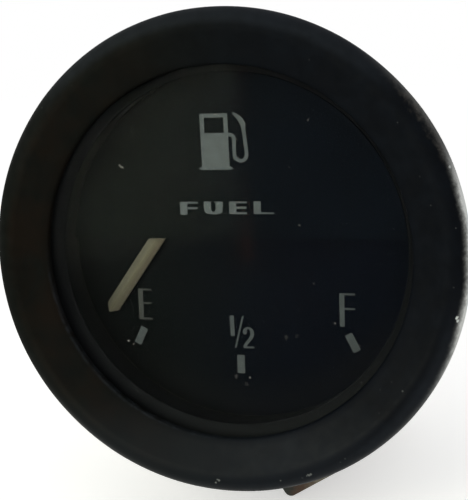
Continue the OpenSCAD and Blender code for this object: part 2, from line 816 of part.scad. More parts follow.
// Draws in the active leg's own frame: x across the strip, y along it from the flexing end
module along_leg() {
    stand() translate([flex_at.x, flex_at.y, strip_z]) rotate([0, 0, leg_a]) children();
}

module bimetal_active_leg() {
    fork_in = crank_pin_d / 2 + fork_gap;
    tine_y1 = leg_l + tine_over;
    tine_y0 = tine_y1 - tine_l;
    base_h = fork_base_h;
    color("#9c8f72") along_leg() {
        disc(strip_t / 2, -strip_w / 2, strip_w / 2);
        translate([-strip_t / 2, 0, -strip_w / 2]) cube([strip_t, tine_y0 - base_h / 2, strip_w]);
        translate([-fork_in - tine_t, tine_y0 - base_h, -fork_w / 2])
            cube([2 * (fork_in + tine_t), base_h, fork_w]);
        for (s = [-1, 1])
            translate([s * (fork_in + tine_t / 2) - tine_t / 2, tine_y0 - base_h / 2, -fork_w / 2])
                cube([tine_t, tine_l + base_h / 2, fork_w]);
    }
}

sleeve_x = strip_t / 2 + seat_gap + sleeve_t;
sleeve_z = strip_w / 2 + seat_gap + sleeve_t;
coil_l = heater_turns * coil_pitch;
sleeve_l = coil_l + 2 * coil_margin;

module heater_sleeve() {
    color("#c9bd97") along_leg() translate([0, sleeve_y0, 0]) difference() {
        translate([-sleeve_x, 0, -sleeve_z]) cube([2 * sleeve_x, sleeve_l, 2 * sleeve_z]);
        translate([-sleeve_x + sleeve_t, -cut, -sleeve_z + sleeve_t])
            cube([2 * (sleeve_x - sleeve_t), sleeve_l + 2 * cut, 2 * (sleeve_z - sleeve_t)]);
    }
}

coil_steps = 4 * coil_corner;
coil_off = coil_gap + wire_d / 2;
// A turn is the sleeve's outline, set out by coil_off, with round corners
function coil_point(i) =
    let (q = floor(i / coil_corner) % 4, a = 90 * q + 90 * (i % coil_corner) / (coil_corner - 1))
    let (sx = q == 0 || q == 3 ? 1 : -1, sz = q < 2 ? 1 : -1)
    let (y = coil_margin + coil_pitch * i / coil_steps)
    [sx * sleeve_x + coil_off * cos(a), y, sz * sleeve_z + coil_off * sin(a)];
coil_last = heater_turns * coil_steps;
coil_path = [for (i = [0:coil_last]) coil_point(i)];
function path_dir(p, i) =
    let (d = p[min(i + 1, len(p) - 1)] - p[max(i - 1, 0)])
    d / norm(d);
function unit(v) = v / norm(v);
// Ring of points round step i of a path that winds about y
function coil_ring(p, i, r, n) =
    let (t = path_dir(p, i), a = unit(cross(t, [0, 1, 0])), b = cross(t, a))
    [for (k = [0:n - 1]) p[i] + r * (cos(360 * k / n) * a + sin(360 * k / n) * b)];
// Least distance between one turn and the next, less the wire
coil_gap_least = min([for (i = [0:coil_steps - 1], j = [-2:2])
    norm(coil_point(i) - coil_point(i + coil_steps + j))]) - wire_d;
echo(coil_gap_least = coil_gap_least);

// One unbroken wire wound round the sleeve
module heater_winding() {
    rings = len(coil_path);
    points = [for (i = [0:rings - 1], q = coil_ring(coil_path, i, wire_d / 2, coil_sides)) q];
    sides = [for (i = [0:rings - 2], k = [0:coil_sides - 1])
        let (a = i * coil_sides + k, b = i * coil_sides + (k + 1) % coil_sides)
        each [[a, a + coil_sides, b], [b, a + coil_sides, b + coil_sides]]];
    last = (rings - 1) * coil_sides;
    caps = [for (k = [1:coil_sides - 2]) each [[0, k, k + 1], [last, last + k + 1, last + k]]];
    color("#7d6a45") along_leg() translate([0, sleeve_y0, 0])
        polyhedron(points = points, faces = concat(sides, caps));
}

module outer_insulator() {
    color(bakelite) stand() along_strap() difference() {
        union() {
            translate([0, 0, rear_z - insulator_t]) linear_extrude(insulator_t)
                round_rect([-insulator_u, insulator_v0], [insulator_u, insulator_v1], insulator_corner_r);
            for (s = [-1, 1]) translate([s * terminal_u, terminal_rivet_v])
                disc(insulator_boss_r, rear_z - 0.1, floor_z);
        }
        terminal_holes(rear_z - insulator_t, floor_z);
    }
}

module inner_insulator() {
    color(bakelite) stand() along_strap() difference() {
        translate([0, 0, floor_z]) linear_extrude(inner_insulator_t)
            round_rect([-insulator_u, insulator_v0], [insulator_u, insulator_v1], insulator_corner_r);
        terminal_holes(floor_z, floor_z + inner_insulator_t);
    }
}

module terminal_holes(z0, z1) {
    for (s = [-1, 1]) translate([s * terminal_u, terminal_rivet_v])
        disc(terminal_rivet_r + thread_gap, z0 - cut, z1 + cut);
}

// A push-on blade: a foot riveted flat, and a blade that stands back from its far edge
module blade_terminal(z1, v0, v1, rivet_v, rivet_r) {
    z0 = z1 - blade_t;
    tip = z1 - blade_l;
    w = blade_w / 2;
    bevel = blade_bevel;
    difference() {
        union() {
            translate([-w, v0, z0]) cube([blade_w, v1 - v0, blade_t]);
            translate([0, v0 + blade_t, 0]) rotate([90, 0, 0]) linear_extrude(blade_t) polygon([
                [-w, z1], [-w, tip + bevel], [-w + bevel, tip], [w - bevel, tip], [w, tip + bevel], [w, z1]
            ]);
        }
        translate([0, rivet_v]) disc(rivet_r + thread_gap, z0 - cut, z1 + cut);
        translate([0, v0, tip + blade_hole_l]) rotate([90, 0, 0]) disc(blade_hole_r, -blade_t - cut, cut);
    }
}

module supply_terminal() {
    color(brass) stand() along_strap() translate([-terminal_u, 0])
        blade_terminal(rear_z - insulator_t, terminal_v0, terminal_v1, terminal_rivet_v, terminal_rivet_r);
}

module sender_terminal() {
    color(brass) stand() along_strap() translate([terminal_u, 0])
        blade_terminal(rear_z - insulator_t, terminal_v0, terminal_v1, terminal_rivet_v, terminal_rivet_r);
}

module terminal_rivets() {
    outer = rear_z - insulator_t - blade_t;
    inner = floor_z + inner_insulator_t;
    color(brass) stand() along_strap() for (s = [-1, 1]) translate([s * terminal_u, terminal_rivet_v]) {
        disc(terminal_rivet_r, outer - terminal_head_h, inner + terminal_head_h);
        disc(terminal_head_r, outer - terminal_head_h, outer);
        disc(terminal_head_r, inner, inner + terminal_head_h);
    }
}

module earth_tab() {
    color(brass) stand() along_strap() translate([earth_u, 0]) mirror([0, 1, 0])
        blade_terminal(rear_z, -earth_v1, -earth_v0, -earth_rivet_v, earth_rivet_r);
}

module earth_rivet() {
    head_r = earth_rivet_r + earth_head_w;
    color(brass) stand() along_strap() translate([earth_u, earth_rivet_v]) {
        disc(earth_rivet_r, rear_z - blade_t - earth_head_h, floor_z + earth_head_h);
        disc(head_r, rear_z - blade_t - earth_head_h, rear_z - blade_t);
        disc(head_r, floor_z, floor_z + earth_head_h);
    }
}

module adjuster_plugs() {
    color(rubber) stand() for (p = [zero_key, span_key]) translate(p) {
        disc(plug_r, rear_z - 0.1, floor_z + plug_tail);
        disc(plug_head_r, rear_z - plug_head_t, rear_z);
    }
}

module mounting_studs() {
    color(steel) stand() between_studs() at_studs() {
        disc(stud_r, stud_end_z, floor_z + 0.1);
        disc(stud_head_r, floor_z, floor_z + stud_head_t);
    }
}

// Side view of the strap: u along the base, z up the legs
module strap_side() {
    c = clamp_bend_r;
    o = clamp_bend_r + clamp_t;
    for (s = [0, 1]) mirror([s, 0]) {
        translate([0, base_z0]) square([clamp_out - o, clamp_t]);
        difference() {
            translate([clamp_out - o, base_z0 + o]) circle(r = o);
            translate([clamp_out - o, base_z0 + o]) circle(r = c);
            translate([clamp_out - 3 * o, base_z0 - o]) square([2 * o, 4 * o]);
            translate([clamp_out - 3 * o, base_z0 + o]) square([4 * o, 2 * o]);
        }
        translate([clamp_in, base_z0 + o]) square([clamp_t, foot_z - base_z0 - o]);
        translate([clamp_in, foot_z - clamp_t]) square([clamp_t + clamp_toe, clamp_t]);
    }
}

module clamp_bracket() {
    toe = clamp_out + clamp_toe;
    slot_r = stud_r + slot_gap;
    color("#8f6a48") stand() between_studs() translate([clamp_shift, 0]) difference() {
        intersection() {
            translate([0, clamp_w2, 0]) rotate([90, 0, 0]) linear_extrude(clamp_w) strap_side();
            translate([0, 0, base_z0 - cut]) linear_extrude(foot_z - base_z0 + 2 * cut)
                round_rect([-toe, -clamp_w2], [toe, clamp_w2], clamp_corner_r);
        }
        at_studs() {
            for (e = [-1, 1]) translate([e * slot_play, 0]) disc(slot_r, base_z0 - cut, base_z1 + cut);
            translate([-slot_play, -slot_r, base_z0 - cut])
                cube([2 * slot_play, 2 * slot_r, clamp_t + 2 * cut]);
        }
    }
}

module spring_washers() {
    color(steel) stand() between_studs() at_studs() difference() {
        ring(washer_r, stud_r + washer_hole_gap, washer_z0, base_z0);
        translate([0, 0, (washer_z0 + base_z0) / 2]) rotate([washer_slit_a, 0, 0])
            translate([0, -washer_slit_w / 2, -2 * washer_t])
                cube([washer_r + 1, washer_slit_w, 4 * washer_t]);
    }
}

// Thumb nut: a knurled wheel with a plain neck that bears on the washer
module knurled_nut() {
    difference() {
        union() {
            disc(nut_r, nut_z0, washer_z0 - nut_neck_h);
            disc(nut_r - nut_step, nut_z0, washer_z0);
        }
        disc(stud_r + thread_gap, nut_z0 - cut, washer_z0 + cut);
        for (i = [0:knurl_count - 1]) rotate([0, 0, 360 * i / knurl_count])
            translate([nut_r + 0.1, 0, nut_z0 - cut])
                rotate([0, 0, 180]) cylinder(r = knurl_r, h = nut_h - nut_neck_h + 2 * cut, $fn = 3);
    }
}

module lower_nut() {
    color(brass) stand() between_studs() translate([stud_pitch / 2, 0]) knurled_nut();
}

module upper_nut() {
    color(brass) stand() between_studs() translate([-stud_pitch / 2, 0]) knurled_nut();
}

module bulb_holder() {
    socket_r = holder_r - holder_wall;
    floor_top = holder_back_z + holder_floor_t;
    color("#d8d4c4") stand() along_strap() translate([0, holder_v]) difference() {
        union() {
            disc(holder_r, holder_back_z, holder_front_z);
            disc(holder_flange_r, rear_z - holder_flange_t, rear_z);
        }
        disc(socket_r, floor_top, holder_front_z + cut);
    }
}

module lamp_contacts() {
    gap = wedge_t / 2 + slide_gap;
    color(brass) stand() along_strap() translate([0, holder_v]) for (s = [0, 1]) mirror([0, s, 0])
        translate([-contact_w / 2, gap, holder_back_z + holder_floor_t])
            cube([contact_w, contact_t, contact_h]);
}

module lamp_terminal() {
    w = lamp_blade_w / 2;
    color(brass) stand() along_strap() translate([0, holder_v]) difference() {
        translate([-w, -blade_t / 2, holder_back_z - lamp_blade_l])
            cube([lamp_blade_w, blade_t, lamp_blade_l]);
        translate([0, 0, holder_back_z - lamp_blade_l + lamp_hole_l]) rotate([90, 0, 0])
            disc(lamp_hole_r, -blade_t, blade_t);
    }
}

// Capless bulb: a domed envelope on a flat wedge
module bulb() {
    neck_z = bulb_z0 + wedge_h;
    c = shoulder_r;
    color("#e9e6dc", 0.6) stand() along_strap() translate([0, holder_v]) {
        translate([-wedge_w / 2, -wedge_t / 2, bulb_z0]) cube([wedge_w, wedge_t, wedge_h + 0.5]);
        rotate_extrude() intersection() {
            union() {
                translate([0, bulb_z1 - bulb_r]) circle(r = bulb_r);
                translate([0, neck_z]) square([bulb_r - c, bulb_l]);
                translate([0, neck_z + c]) square([bulb_r, bulb_z1 - bulb_r - neck_z - c]);
                translate([bulb_r - c, neck_z + c]) circle(r = c);
            }
            translate([0, neck_z]) square([bulb_r, bulb_z1 - neck_z]);
            union() {
                translate([0, neck_z]) square([bulb_r, bulb_z1 - bulb_r - neck_z]);
                translate([0, bulb_z1 - bulb_r]) circle(r = bulb_r);
            }
        }
    }
}

bezel();
glass();
glass_gasket();
trim_ring();
case_can();
dial_plate();
dial_mask();
mask_spacers();
dial_screws();
dial_pillars();
pointer();
pointer_arbor();
arbor_bridge();
bridge_rivets();
rear_bush();
movement_frame();
frame_spacers();
movement_screws();
quadrant_clip();
zero_quadrant();
span_quadrant();
span_pivot_rivet();
bimetal_anchor_leg();
anchor_rivet();
bimetal_active_leg();
heater_sleeve();
heater_winding();
outer_insulator();
inner_insulator();
supply_terminal();
sender_terminal();
terminal_rivets();
earth_tab();
earth_rivet();
adjuster_plugs();
mounting_studs();
clamp_bracket();
spring_washers();
lower_nut();
upper_nut();
bulb_holder();
lamp_contacts();
lamp_terminal();
bulb();
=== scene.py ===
import math

import bmesh
import bpy
from bpy.props import FloatProperty, FloatVectorProperty, IntProperty, PointerProperty
from bpy.types import Operator, Panel, PropertyGroup
from mathutils import Matrix, Vector


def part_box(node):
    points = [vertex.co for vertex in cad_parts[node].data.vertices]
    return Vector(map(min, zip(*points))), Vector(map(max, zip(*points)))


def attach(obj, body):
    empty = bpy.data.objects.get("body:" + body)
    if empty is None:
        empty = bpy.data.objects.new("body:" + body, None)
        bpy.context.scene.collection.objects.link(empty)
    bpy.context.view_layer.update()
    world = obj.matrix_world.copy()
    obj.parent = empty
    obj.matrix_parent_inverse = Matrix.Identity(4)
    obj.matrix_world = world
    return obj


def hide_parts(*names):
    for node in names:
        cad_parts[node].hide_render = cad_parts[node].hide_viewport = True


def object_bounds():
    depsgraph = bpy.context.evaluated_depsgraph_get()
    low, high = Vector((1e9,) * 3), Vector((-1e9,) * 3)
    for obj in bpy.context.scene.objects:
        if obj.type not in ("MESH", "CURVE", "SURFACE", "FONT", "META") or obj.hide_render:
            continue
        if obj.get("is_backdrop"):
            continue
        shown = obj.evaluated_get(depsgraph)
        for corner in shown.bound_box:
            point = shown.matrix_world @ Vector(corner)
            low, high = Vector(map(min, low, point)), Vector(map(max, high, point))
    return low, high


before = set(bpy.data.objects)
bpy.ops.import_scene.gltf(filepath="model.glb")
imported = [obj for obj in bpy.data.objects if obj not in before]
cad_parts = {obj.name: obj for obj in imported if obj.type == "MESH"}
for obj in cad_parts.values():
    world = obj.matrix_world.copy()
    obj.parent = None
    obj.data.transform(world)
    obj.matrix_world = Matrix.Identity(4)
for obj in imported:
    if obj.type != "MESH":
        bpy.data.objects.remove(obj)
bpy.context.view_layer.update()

bl_info = {
    "name": "Fuel gauge",
    "version": (1, 0, 0),
    "blender": (4, 5, 0),
    "location": "3D Viewport > Sidebar > Fuel gauge",
    "description": "Camera, stage, dial marks, fine pieces and finishes for a 52 mm panel fuel gauge",
    "category": "Object",
}

MM = 0.001


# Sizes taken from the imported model

def front_of(node):
    """How far forward a node reaches; the dial faces -Y"""
    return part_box(node)[0].y


def radius_of(node):
    low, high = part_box(node)
    return (high.x - low.x) / 2


def middle_of(node):
    low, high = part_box(node)
    return (low + high) / 2


# Settings that a user would change

def length(name, description, default):
    return FloatProperty(name=name, description=description, default=default, min=0,
                         unit="LENGTH", subtype="DISTANCE", precision=5)


def turn(name, description, degrees):
    return FloatProperty(name=name, description=description, default=math.radians(degrees),
                         unit="ROTATION", subtype="ANGLE")


def colour(name, description, default):
    return FloatVectorProperty(name=name, description=description, default=default, size=3,
                               min=0, max=1, subtype="COLOR")


def share(name, description, default):
    return FloatProperty(name=name, description=description, default=default, min=0, max=1,
                         subtype="FACTOR")


class GaugeSizes(PropertyGroup):
    """Sizes of the printed marks and of the pieces made here"""
    pivot_height: length("Pivot height", "Height of the pointer's pivot above the gauge's axis", 0.0165)
    tick_inner: length("Tick inner radius", "From the pivot to the near end of a tick", 0.03125)
    tick_length: length("Tick length", "Length of a tick along the radius", 0.0025)
    tick_width: length("Tick width", "Width of a tick", 0.00103)
    scale_half_angle: turn("Scale half angle", "Angle from the middle tick to an end tick", 26.6)
    print_thickness: length("Print thickness", "How far the printed marks stand off the plate", 0.00002)
    bezel_crest_radius: length("Bezel crest radius", "Outer radius of the bezel's rounded rim", 0.0021)
    bezel_sheet: length("Bezel sheet", "Thickness of the bezel's sheet metal", 0.0008)
    bezel_draft: length("Bezel draft", "How much narrower the bezel is at the panel", 0.0005)
    lip_radius: length("Lip radius", "Radius of the opening inside the bezel's lip", 0.0233)
    lip_height: length("Lip height", "Height of the lip's underside above the panel", 0.0043)
    bezel_segments: IntProperty(name="Bezel segments", description="Facets round the bezel",
                                default=224, min=48, max=512)
    thread_pitch: length("Thread pitch", "Pitch of the mounting studs' thread", 0.0007)
    thread_depth: length("Thread depth", "Depth of the mounting studs' thread", 0.00038)
    knurl_count: IntProperty(name="Knurl count", description="Grooves round a thumb nut",
                             default=54, min=24, max=90)
    knurl_depth: length("Knurl depth", "Depth of a thumb nut's grooves", 0.00028)


class GaugeColours(PropertyGroup):
    """Colours of the finishes"""
    bezel: colour("Bezel enamel", "Satin black of the bezel", (0.0013, 0.0020, 0.0032))
    # Painted warm light: browner patches on the bezel's left
    bezel_warm_light: colour("Bezel patches", "Browner patches of the aged enamel", (0.0052, 0.0036, 0.0022))
    # Painted highlight: the grey sheen on the bezel's crest, bottom and lip
    bezel_sheen: colour("Bezel dust", "Grey bloom on the bezel's crest and lip", (0.040, 0.048, 0.060))
    # Painted rim highlight, together with enamel rubbed through at the right edge
    rubbed: colour("Rubbed rim", "Pale primer where the bezel's edge is rubbed through", (0.82, 0.84, 0.82))
    scuffed: colour("Scuffs", "Brownish scuffs above the rubbed edge", (0.80, 0.72, 0.64))
    # The strongest chips on the right rim are also painted highlight
    chip: colour("Chips", "Bare spots where the enamel has gone", (0.68, 0.72, 0.70))
    trim: colour("Trim ring", "Matt black of the ring under the glass", (0.0038, 0.0046, 0.0058))
    dial: colour("Dial", "Matt blue-black of the dial", (0.0017, 0.0031, 0.0068))
    mask: colour("Mask", "Matt black of the raised mask", (0.0022, 0.0042, 0.0076))
    legend: colour("Marks", "Aged white of the printed marks", (0.131, 0.154, 0.160))
    pointer: colour("Pointer", "Cream-grey paint of the pointer", (0.128, 0.124, 0.092))
    # Painted highlight along the pointer's crease
    pointer_crease_highlight: colour("Pointer streak", "Paler streak along its crease", (0.190, 0.176, 0.108))
    dust: colour("Dust", "Specks on the glass", (0.30, 0.29, 0.26))
    zinc: colour("Case", "Dull zinc plate", (0.34, 0.34, 0.325))
    zinc_tint: colour("Case tint", "Yellowish passivation on the zinc", (0.325, 0.315, 0.272))
    steel: colour("Steel", "Plain steel", (0.42, 0.42, 0.41))
    brass: colour("Brass", "Dull brass", (0.56, 0.41, 0.17))
    clamp: colour("Clamp", "Tan-brown finish of the clamp", (0.128, 0.094, 0.056))
    clamp_rust: colour("Clamp rust", "Browner, duller spots on the clamp", (0.085, 0.042, 0.022))
    insulator: colour("Insulator", "Brown bonded paper", (0.105, 0.052, 0.024))
    holder: colour("Bulb holder", "Off-white moulding", (0.62, 0.59, 0.49))


class GaugeStudio(PropertyGroup):
    """The stage's lights and floor"""
    floor: colour("Floor", "Colour of the pale floor", (0.86, 0.86, 0.85))
    floor_glow: share("Floor glow", "What the floor adds where it is seen straight or in a reflection", 0.50)
    world_level: share("World level", "Strength of the surroundings as a light", 0.60)
    softbox_power: FloatProperty(name="Softbox power", description="Power of the softbox at the front left",
                                 default=0.33, min=0, unit="POWER")
    softbox_width: length("Softbox width", "Width of the softbox", 0.13)
    softbox_height: length("Softbox height", "Height of the softbox", 0.17)


# Mesh helpers

def add_mesh(name, verts, faces, smooth=35):
    """A mesh object from points in metres, shaded smooth below an angle in degrees"""
    mesh = bpy.data.meshes.new(name)
    mesh.from_pydata(verts, [], faces)
    mesh.validate()
    edit = bmesh.new()
    edit.from_mesh(mesh)
    bmesh.ops.recalc_face_normals(edit, faces=edit.faces)
    edit.to_mesh(mesh)
    edit.free()
    mesh.polygons.foreach_set("use_smooth", [True] * len(mesh.polygons))
    mesh.set_sharp_from_angle(angle=math.radians(smooth))
    piece = bpy.data.objects.new(name, mesh)
    bpy.context.scene.collection.objects.link(piece)
    return piece


def polar(radius, angle, y, centre=(0, 0, 0)):
    """A point at a radius and angle about the gauge's axis, or about a line along it"""
    return (centre[0] + radius * math.cos(angle), y, centre[2] + radius * math.sin(angle))


def arc(centre, radius, start, end, count):
    """Points on an arc in a flat plane, angles in degrees"""
    points = []
    for i in range(count + 1):
        a = math.radians(start + (end - start) * i / count)
        points.append((centre[0] + radius * math.cos(a), centre[1] + radius * math.sin(a)))
    return points


def skin(rings, verts, faces, closed=False):
    """Adds rings of points and the faces between them; an open row also gets a face at each end"""
    first, count = len(verts), len(rings[0])
    for ring in rings:
        verts += ring
    for r in range(len(rings) if closed else len(rings) - 1):
        a, b = first + r * count, first + (r + 1) % len(rings) * count
        for i in range(count):
            j = (i + 1) % count
            faces.append((a + i, b + i, b + j, a + j))
    if not closed:
        faces.append(tuple(range(first, first + count)))
        faces.append(tuple(range(len(verts) - count, len(verts))))


def lathe(name, profile, segments, shape, smooth=35, centre=(0, 0, 0)):
    """A closed profile of (radius, y) turned about an axis; shape changes a radius by the angle"""
    rings, verts, faces = [], [], []
    for s in range(segments):
        angle = 2 * math.pi * s / segments
        rings.append([polar(shape(radius, angle), angle, y, centre) for radius, y in profile])
    skin(rings, verts, faces, closed=True)
    return add_mesh(name, verts, faces, smooth)


def printed(name, outlines, y, thickness):
    """Flat closed outlines of (x, z) in millimetres, raised off a plate whose face is at y"""
    curve = bpy.data.curves.new(name, "CURVE")
    curve.dimensions = "2D"
    curve.fill_mode = "BOTH"
    curve.extrude = thickness / 2
    for outline in outlines:
        spline = curve.splines.new("POLY")
        spline.points.add(len(outline) - 1)
        for point, (x, z) in zip(spline.points, outline):
            point.co = (x * MM, z * MM, 0, 1)
        spline.use_cyclic_u = True
    holder = bpy.data.objects.new(name + "_outline", curve)
    bpy.context.scene.collection.objects.link(holder)
    depsgraph = bpy.context.evaluated_depsgraph_get()
    mesh = bpy.data.meshes.new_from_object(holder.evaluated_get(depsgraph))
    bpy.data.objects.remove(holder)
    bpy.data.curves.remove(curve)
    mesh.name = name
    upright = Matrix.Translation((0, y - thickness / 2, 0)) @ Matrix.Rotation(math.radians(90), 4, "X")
    mesh.transform(upright)
    piece = bpy.data.objects.new(name, mesh)
    bpy.context.scene.collection.objects.link(piece)
    return piece


def stroke(points, width):
    """The outline of a line with a width, in millimetres"""
    left, right = [], []
    for i, (x, z) in enumerate(points):
        x0, z0 = points[max(i - 1, 0)]
        x1, z1 = points[min(i + 1, len(points) - 1)]
        size = math.hypot(x1 - x0, z1 - z0)
        nx, nz = -(z1 - z0) / size, (x1 - x0) / size
        half = width / 2
        left.append((x + nx * half, z + nz * half))
        right.append((x - nx * half, z - nz * half))
    return left + right[::-1]


def smooth_line(points):
    """A smooth line through given points, with six steps from each to the next"""
    line = []
    for i in range(len(points) - 1):
        four = points[max(i - 1, 0)], points[i], points[i + 1], points[min(i + 2, len(points) - 1)]
        for t in (s / 6 for s in range(6)):
            line.append(tuple(
                0.5 * (2 * b + (c - a) * t + (2 * a - 5 * b + 4 * c - d) * t * t
                       + (3 * b - a - 3 * c + d) * t ** 3)
                for a, b, c, d in zip(*four)))
    line.append(tuple(points[-1]))
    return line


def tube(path, radius, sides, verts, faces):
    """Adds a round wire along a path, closed at both ends"""
    rings = []
    normal = (path[1] - path[0]).orthogonal()
    for i, point in enumerate(path):
        ahead = (path[min(i + 1, len(path) - 1)] - path[max(i - 1, 0)]).normalized()
        normal = (normal - ahead * normal.dot(ahead)).normalized()
        side = ahead.cross(normal)
        angles = (2 * math.pi * s / sides for s in range(sides))
        rings.append([tuple(point + radius * (math.cos(a) * normal + math.sin(a) * side)) for a in angles])
    skin(rings, verts, faces)


# Finish helpers

class Level:
    """A number that varies over a surface; its sums, products and fades are shader nodes"""

    def __init__(self, wiring, socket):
        self.wiring = wiring
        self.socket = socket

    def __add__(self, other):
        return self.wiring.calc("ADD", self, other)

    def __sub__(self, other):
        return self.wiring.calc("SUBTRACT", self, other)

    def __rsub__(self, other):
        return self.wiring.calc("SUBTRACT", other, self)

    def __mul__(self, other):
        return self.wiring.calc("MULTIPLY", self, other)

    def __abs__(self):
        return self.wiring.calc("ABSOLUTE", self)

    def between(self, low, high, start=0.0, end=1.0, kind="LINEAR"):
        """Goes from start to end as this goes from low to high, and stays there beyond them"""
        ends = {"Value": self, "From Min": low, "From Max": high, "To Min": start, "To Max": end}
        node = self.wiring.add("MapRange", ends, interpolation_type=kind)
        return Level(self.wiring, node.outputs["Result"])

    def eased(self, low, high, start=0.0, end=1.0):
        """The same with a soft start and end"""
        return self.between(low, high, start, end, "SMOOTHSTEP")


def most(first, *others):
    """The greatest of some levels"""
    for other in others:
        first = first.wiring.calc("MAXIMUM", first, other)
    return first


class Wiring:
    """The nodes of a material, world or light, joined by short calls"""

    def __init__(self, owner, shader):
        owner.use_nodes = True
        self.nodes = owner.node_tree.nodes
        self.links = owner.node_tree.links
        self.shader = next(n for n in self.nodes if n.type == shader)
        self.given = {}

    def feed(self, socket, value):
        """Links a level or a socket to a socket, or sets its plain value"""
        if isinstance(value, Level):
            value = value.socket
        if isinstance(value, bpy.types.NodeSocket):
            self.links.new(value, socket)
        elif socket.type == "RGBA":
            socket.default_value = (*value[:3], 1)
        else:
            socket.default_value = value

    def give(self, name, value):
        """Feeds a socket of the shader, and keeps what went in"""
        self.given[name] = value
        self.feed(self.shader.inputs[name], value)

    def add(self, kind, inputs, **settings):
        """A new node with its settings, and with what feeds its sockets"""
        node = self.nodes.new("ShaderNode" + kind)
        for name, value in settings.items():
            setattr(node, name, value)
        for socket, value in inputs.items():
            self.feed(node.inputs[socket], value)
        return node

    def blend(self, amount, first, second):
        """A colour that goes from the first to the second as the amount goes from 0 to 1"""
        return self.add("Mix", {0: amount, 6: first, 7: second}, data_type="RGBA").outputs[2]

    def calc(self, operation, first, second=0.0):
        return Level(self, self.add("Math", {0: first, 1: second}, operation=operation).outputs[0])

    def vector(self, operation, first, second):
        return self.add("VectorMath", {0: first, 1: second}, operation=operation).outputs

    def split(self, vector):
        return [Level(self, socket) for socket in self.add("SeparateXYZ", {0: vector}).outputs]

    def seen_directly(self):
        """1 for camera, glossy and transmission rays, which see the white background"""
        path = self.add("LightPath", {}).outputs
        rays = ("Is Camera Ray", "Is Glossy Ray", "Is Transmission Ray")
        return most(*(Level(self, path[ray]) for ray in rays))


class Finish(Wiring):
    """A material in the making, with textures that run in millimetres"""

    def __init__(self, name, base, roughness, metallic=0.0, specular=0.5):
        self.material = bpy.data.materials.new(name)
        super().__init__(self.material, "BSDF_PRINCIPLED")
        self.give("Base Color", base)
        self.give("Roughness", roughness)
        self.give("Metallic", metallic)
        self.give("Specular IOR Level", specular)
        self.place = self.vector("MULTIPLY", self.add("TexCoord", {}).outputs["Object"], (1 / MM,) * 3)[0]
        self.x, self.y, self.z = self.split(self.place)

    def coat(self, amount, colour):
        """Lays a colour over what is there, by an amount from 0 to 1"""
        self.give("Base Color", self.blend(amount, self.given["Base Color"], colour))

    def stretched(self, x, y, z):
        """Places squeezed by a factor along each axis, for streaks"""
        return self.vector("MULTIPLY", self.place, (x, y, z))[0]

    def noise(self, scale, detail=3.0, rough=0.5, place=None):
        inputs = {"Vector": place or self.place, "Scale": scale, "Detail": detail, "Roughness": rough}
        return Level(self, self.add("TexNoise", inputs).outputs[0])

    def cells(self, scale, place=None):
        node = self.add("TexVoronoi", {"Vector": place or self.place, "Scale": scale})
        return Level(self, node.outputs["Distance"])

    def spots(self, marks, ragged=0.3):
        """Ragged spots, each given as x, y, z, reach and strength in millimetres"""
        uneven = self.noise(4.5, 2).between(0.3, 0.7, -ragged, ragged)
        spots = []
        for x, y, z, reach, strength in marks:
            away = self.calc("DIVIDE", self.vector("DISTANCE", self.place, (x, y, z))["Value"], reach)
            spots.append((away + uneven).between(0.6, 1.1, strength, 0.0))
        return most(*spots)

    def facing(self, straight, grazing):
        """Clear glass: how opaque it is seen straight on, and at a grazing angle"""
        mirrored = Level(self, self.add("Fresnel", {"IOR": 1.45}).outputs[0])
        seen_straight = 0.036
        return mirrored.between(seen_straight, 1.0, straight, grazing)

    def radius(self):
        """Distance from the gauge's axis, in millimetres"""
        return self.calc("SQRT", self.x * self.x + self.z * self.z)

    def bump(self, height, depth):
        """Relief whose height of 1 stands for a depth in millimetres"""
        node = self.add("Bump", {"Height": height, "Distance": depth * MM})
        self.give("Normal", node.outputs["Normal"])


def scaled(rgb, factor):
    """A colour made darker or lighter"""
    return tuple(c * factor for c in rgb)


# Painted warm light: what the black enamel's red, green and blue are multiplied by at the gauge's left
LEFT_WARM_LIGHT = (1.35, 1.15, 0.55)


def enamel(name, base, lighter, roughness, specular, grain=0.002, patch=0.09):
    """Stoved enamel: faint lighter patches, a painted warm light that makes it greener at the left, an
    orange-peel skin and uneven gloss
    """
    finish = Finish(name, base, roughness, specular=specular)
    finish.coat(finish.noise(patch, 4, 0.6).between(0.42, 0.68), scaled(base, lighter))
    warm_lit_enamel = finish.vector("MULTIPLY", finish.given["Base Color"], LEFT_WARM_LIGHT)[0]
    finish.coat(finish.x.eased(-14.0, 10.0, 1.0, 0.0), warm_lit_enamel)
    gloss = finish.noise(0.7, 5, 0.65)
    finish.give("Roughness", gloss.between(0.3, 0.7, roughness - 0.06, roughness + 0.08))
    finish.bump(finish.noise(4.5, 2, 0.5), grain)
    return finish


def metal(name, base, tarnish, roughness, lines=None, spots=0.0, blotch=0.12):
    """Plain or plated metal: drawn lines, tarnish in blotches, and small dull spots"""
    finish = Finish(name, base, roughness, metallic=1.0)
    cloud = finish.noise(blotch, 5, 0.62).between(0.38, 0.68)
    finish.coat(cloud, tarnish)
    dull = cloud.between(0, 1, roughness, min(roughness + 0.14, 0.9))
    if spots:
        dots = finish.cells(spots).between(0.10, 0.24, 1.0, 0.0)
        mark = dots * finish.noise(spots * 0.35, 2).between(0.5, 0.66)
        finish.coat(mark, scaled(tarnish, 0.52))
        dull += mark * 0.22
    finish.give("Roughness", dull)
    relief = finish.noise(1.0, 3, 0.6, finish.stretched(*lines)) if lines else finish.noise(3.0, 4, 0.6)
    finish.bump(relief, 0.006)
    return finish


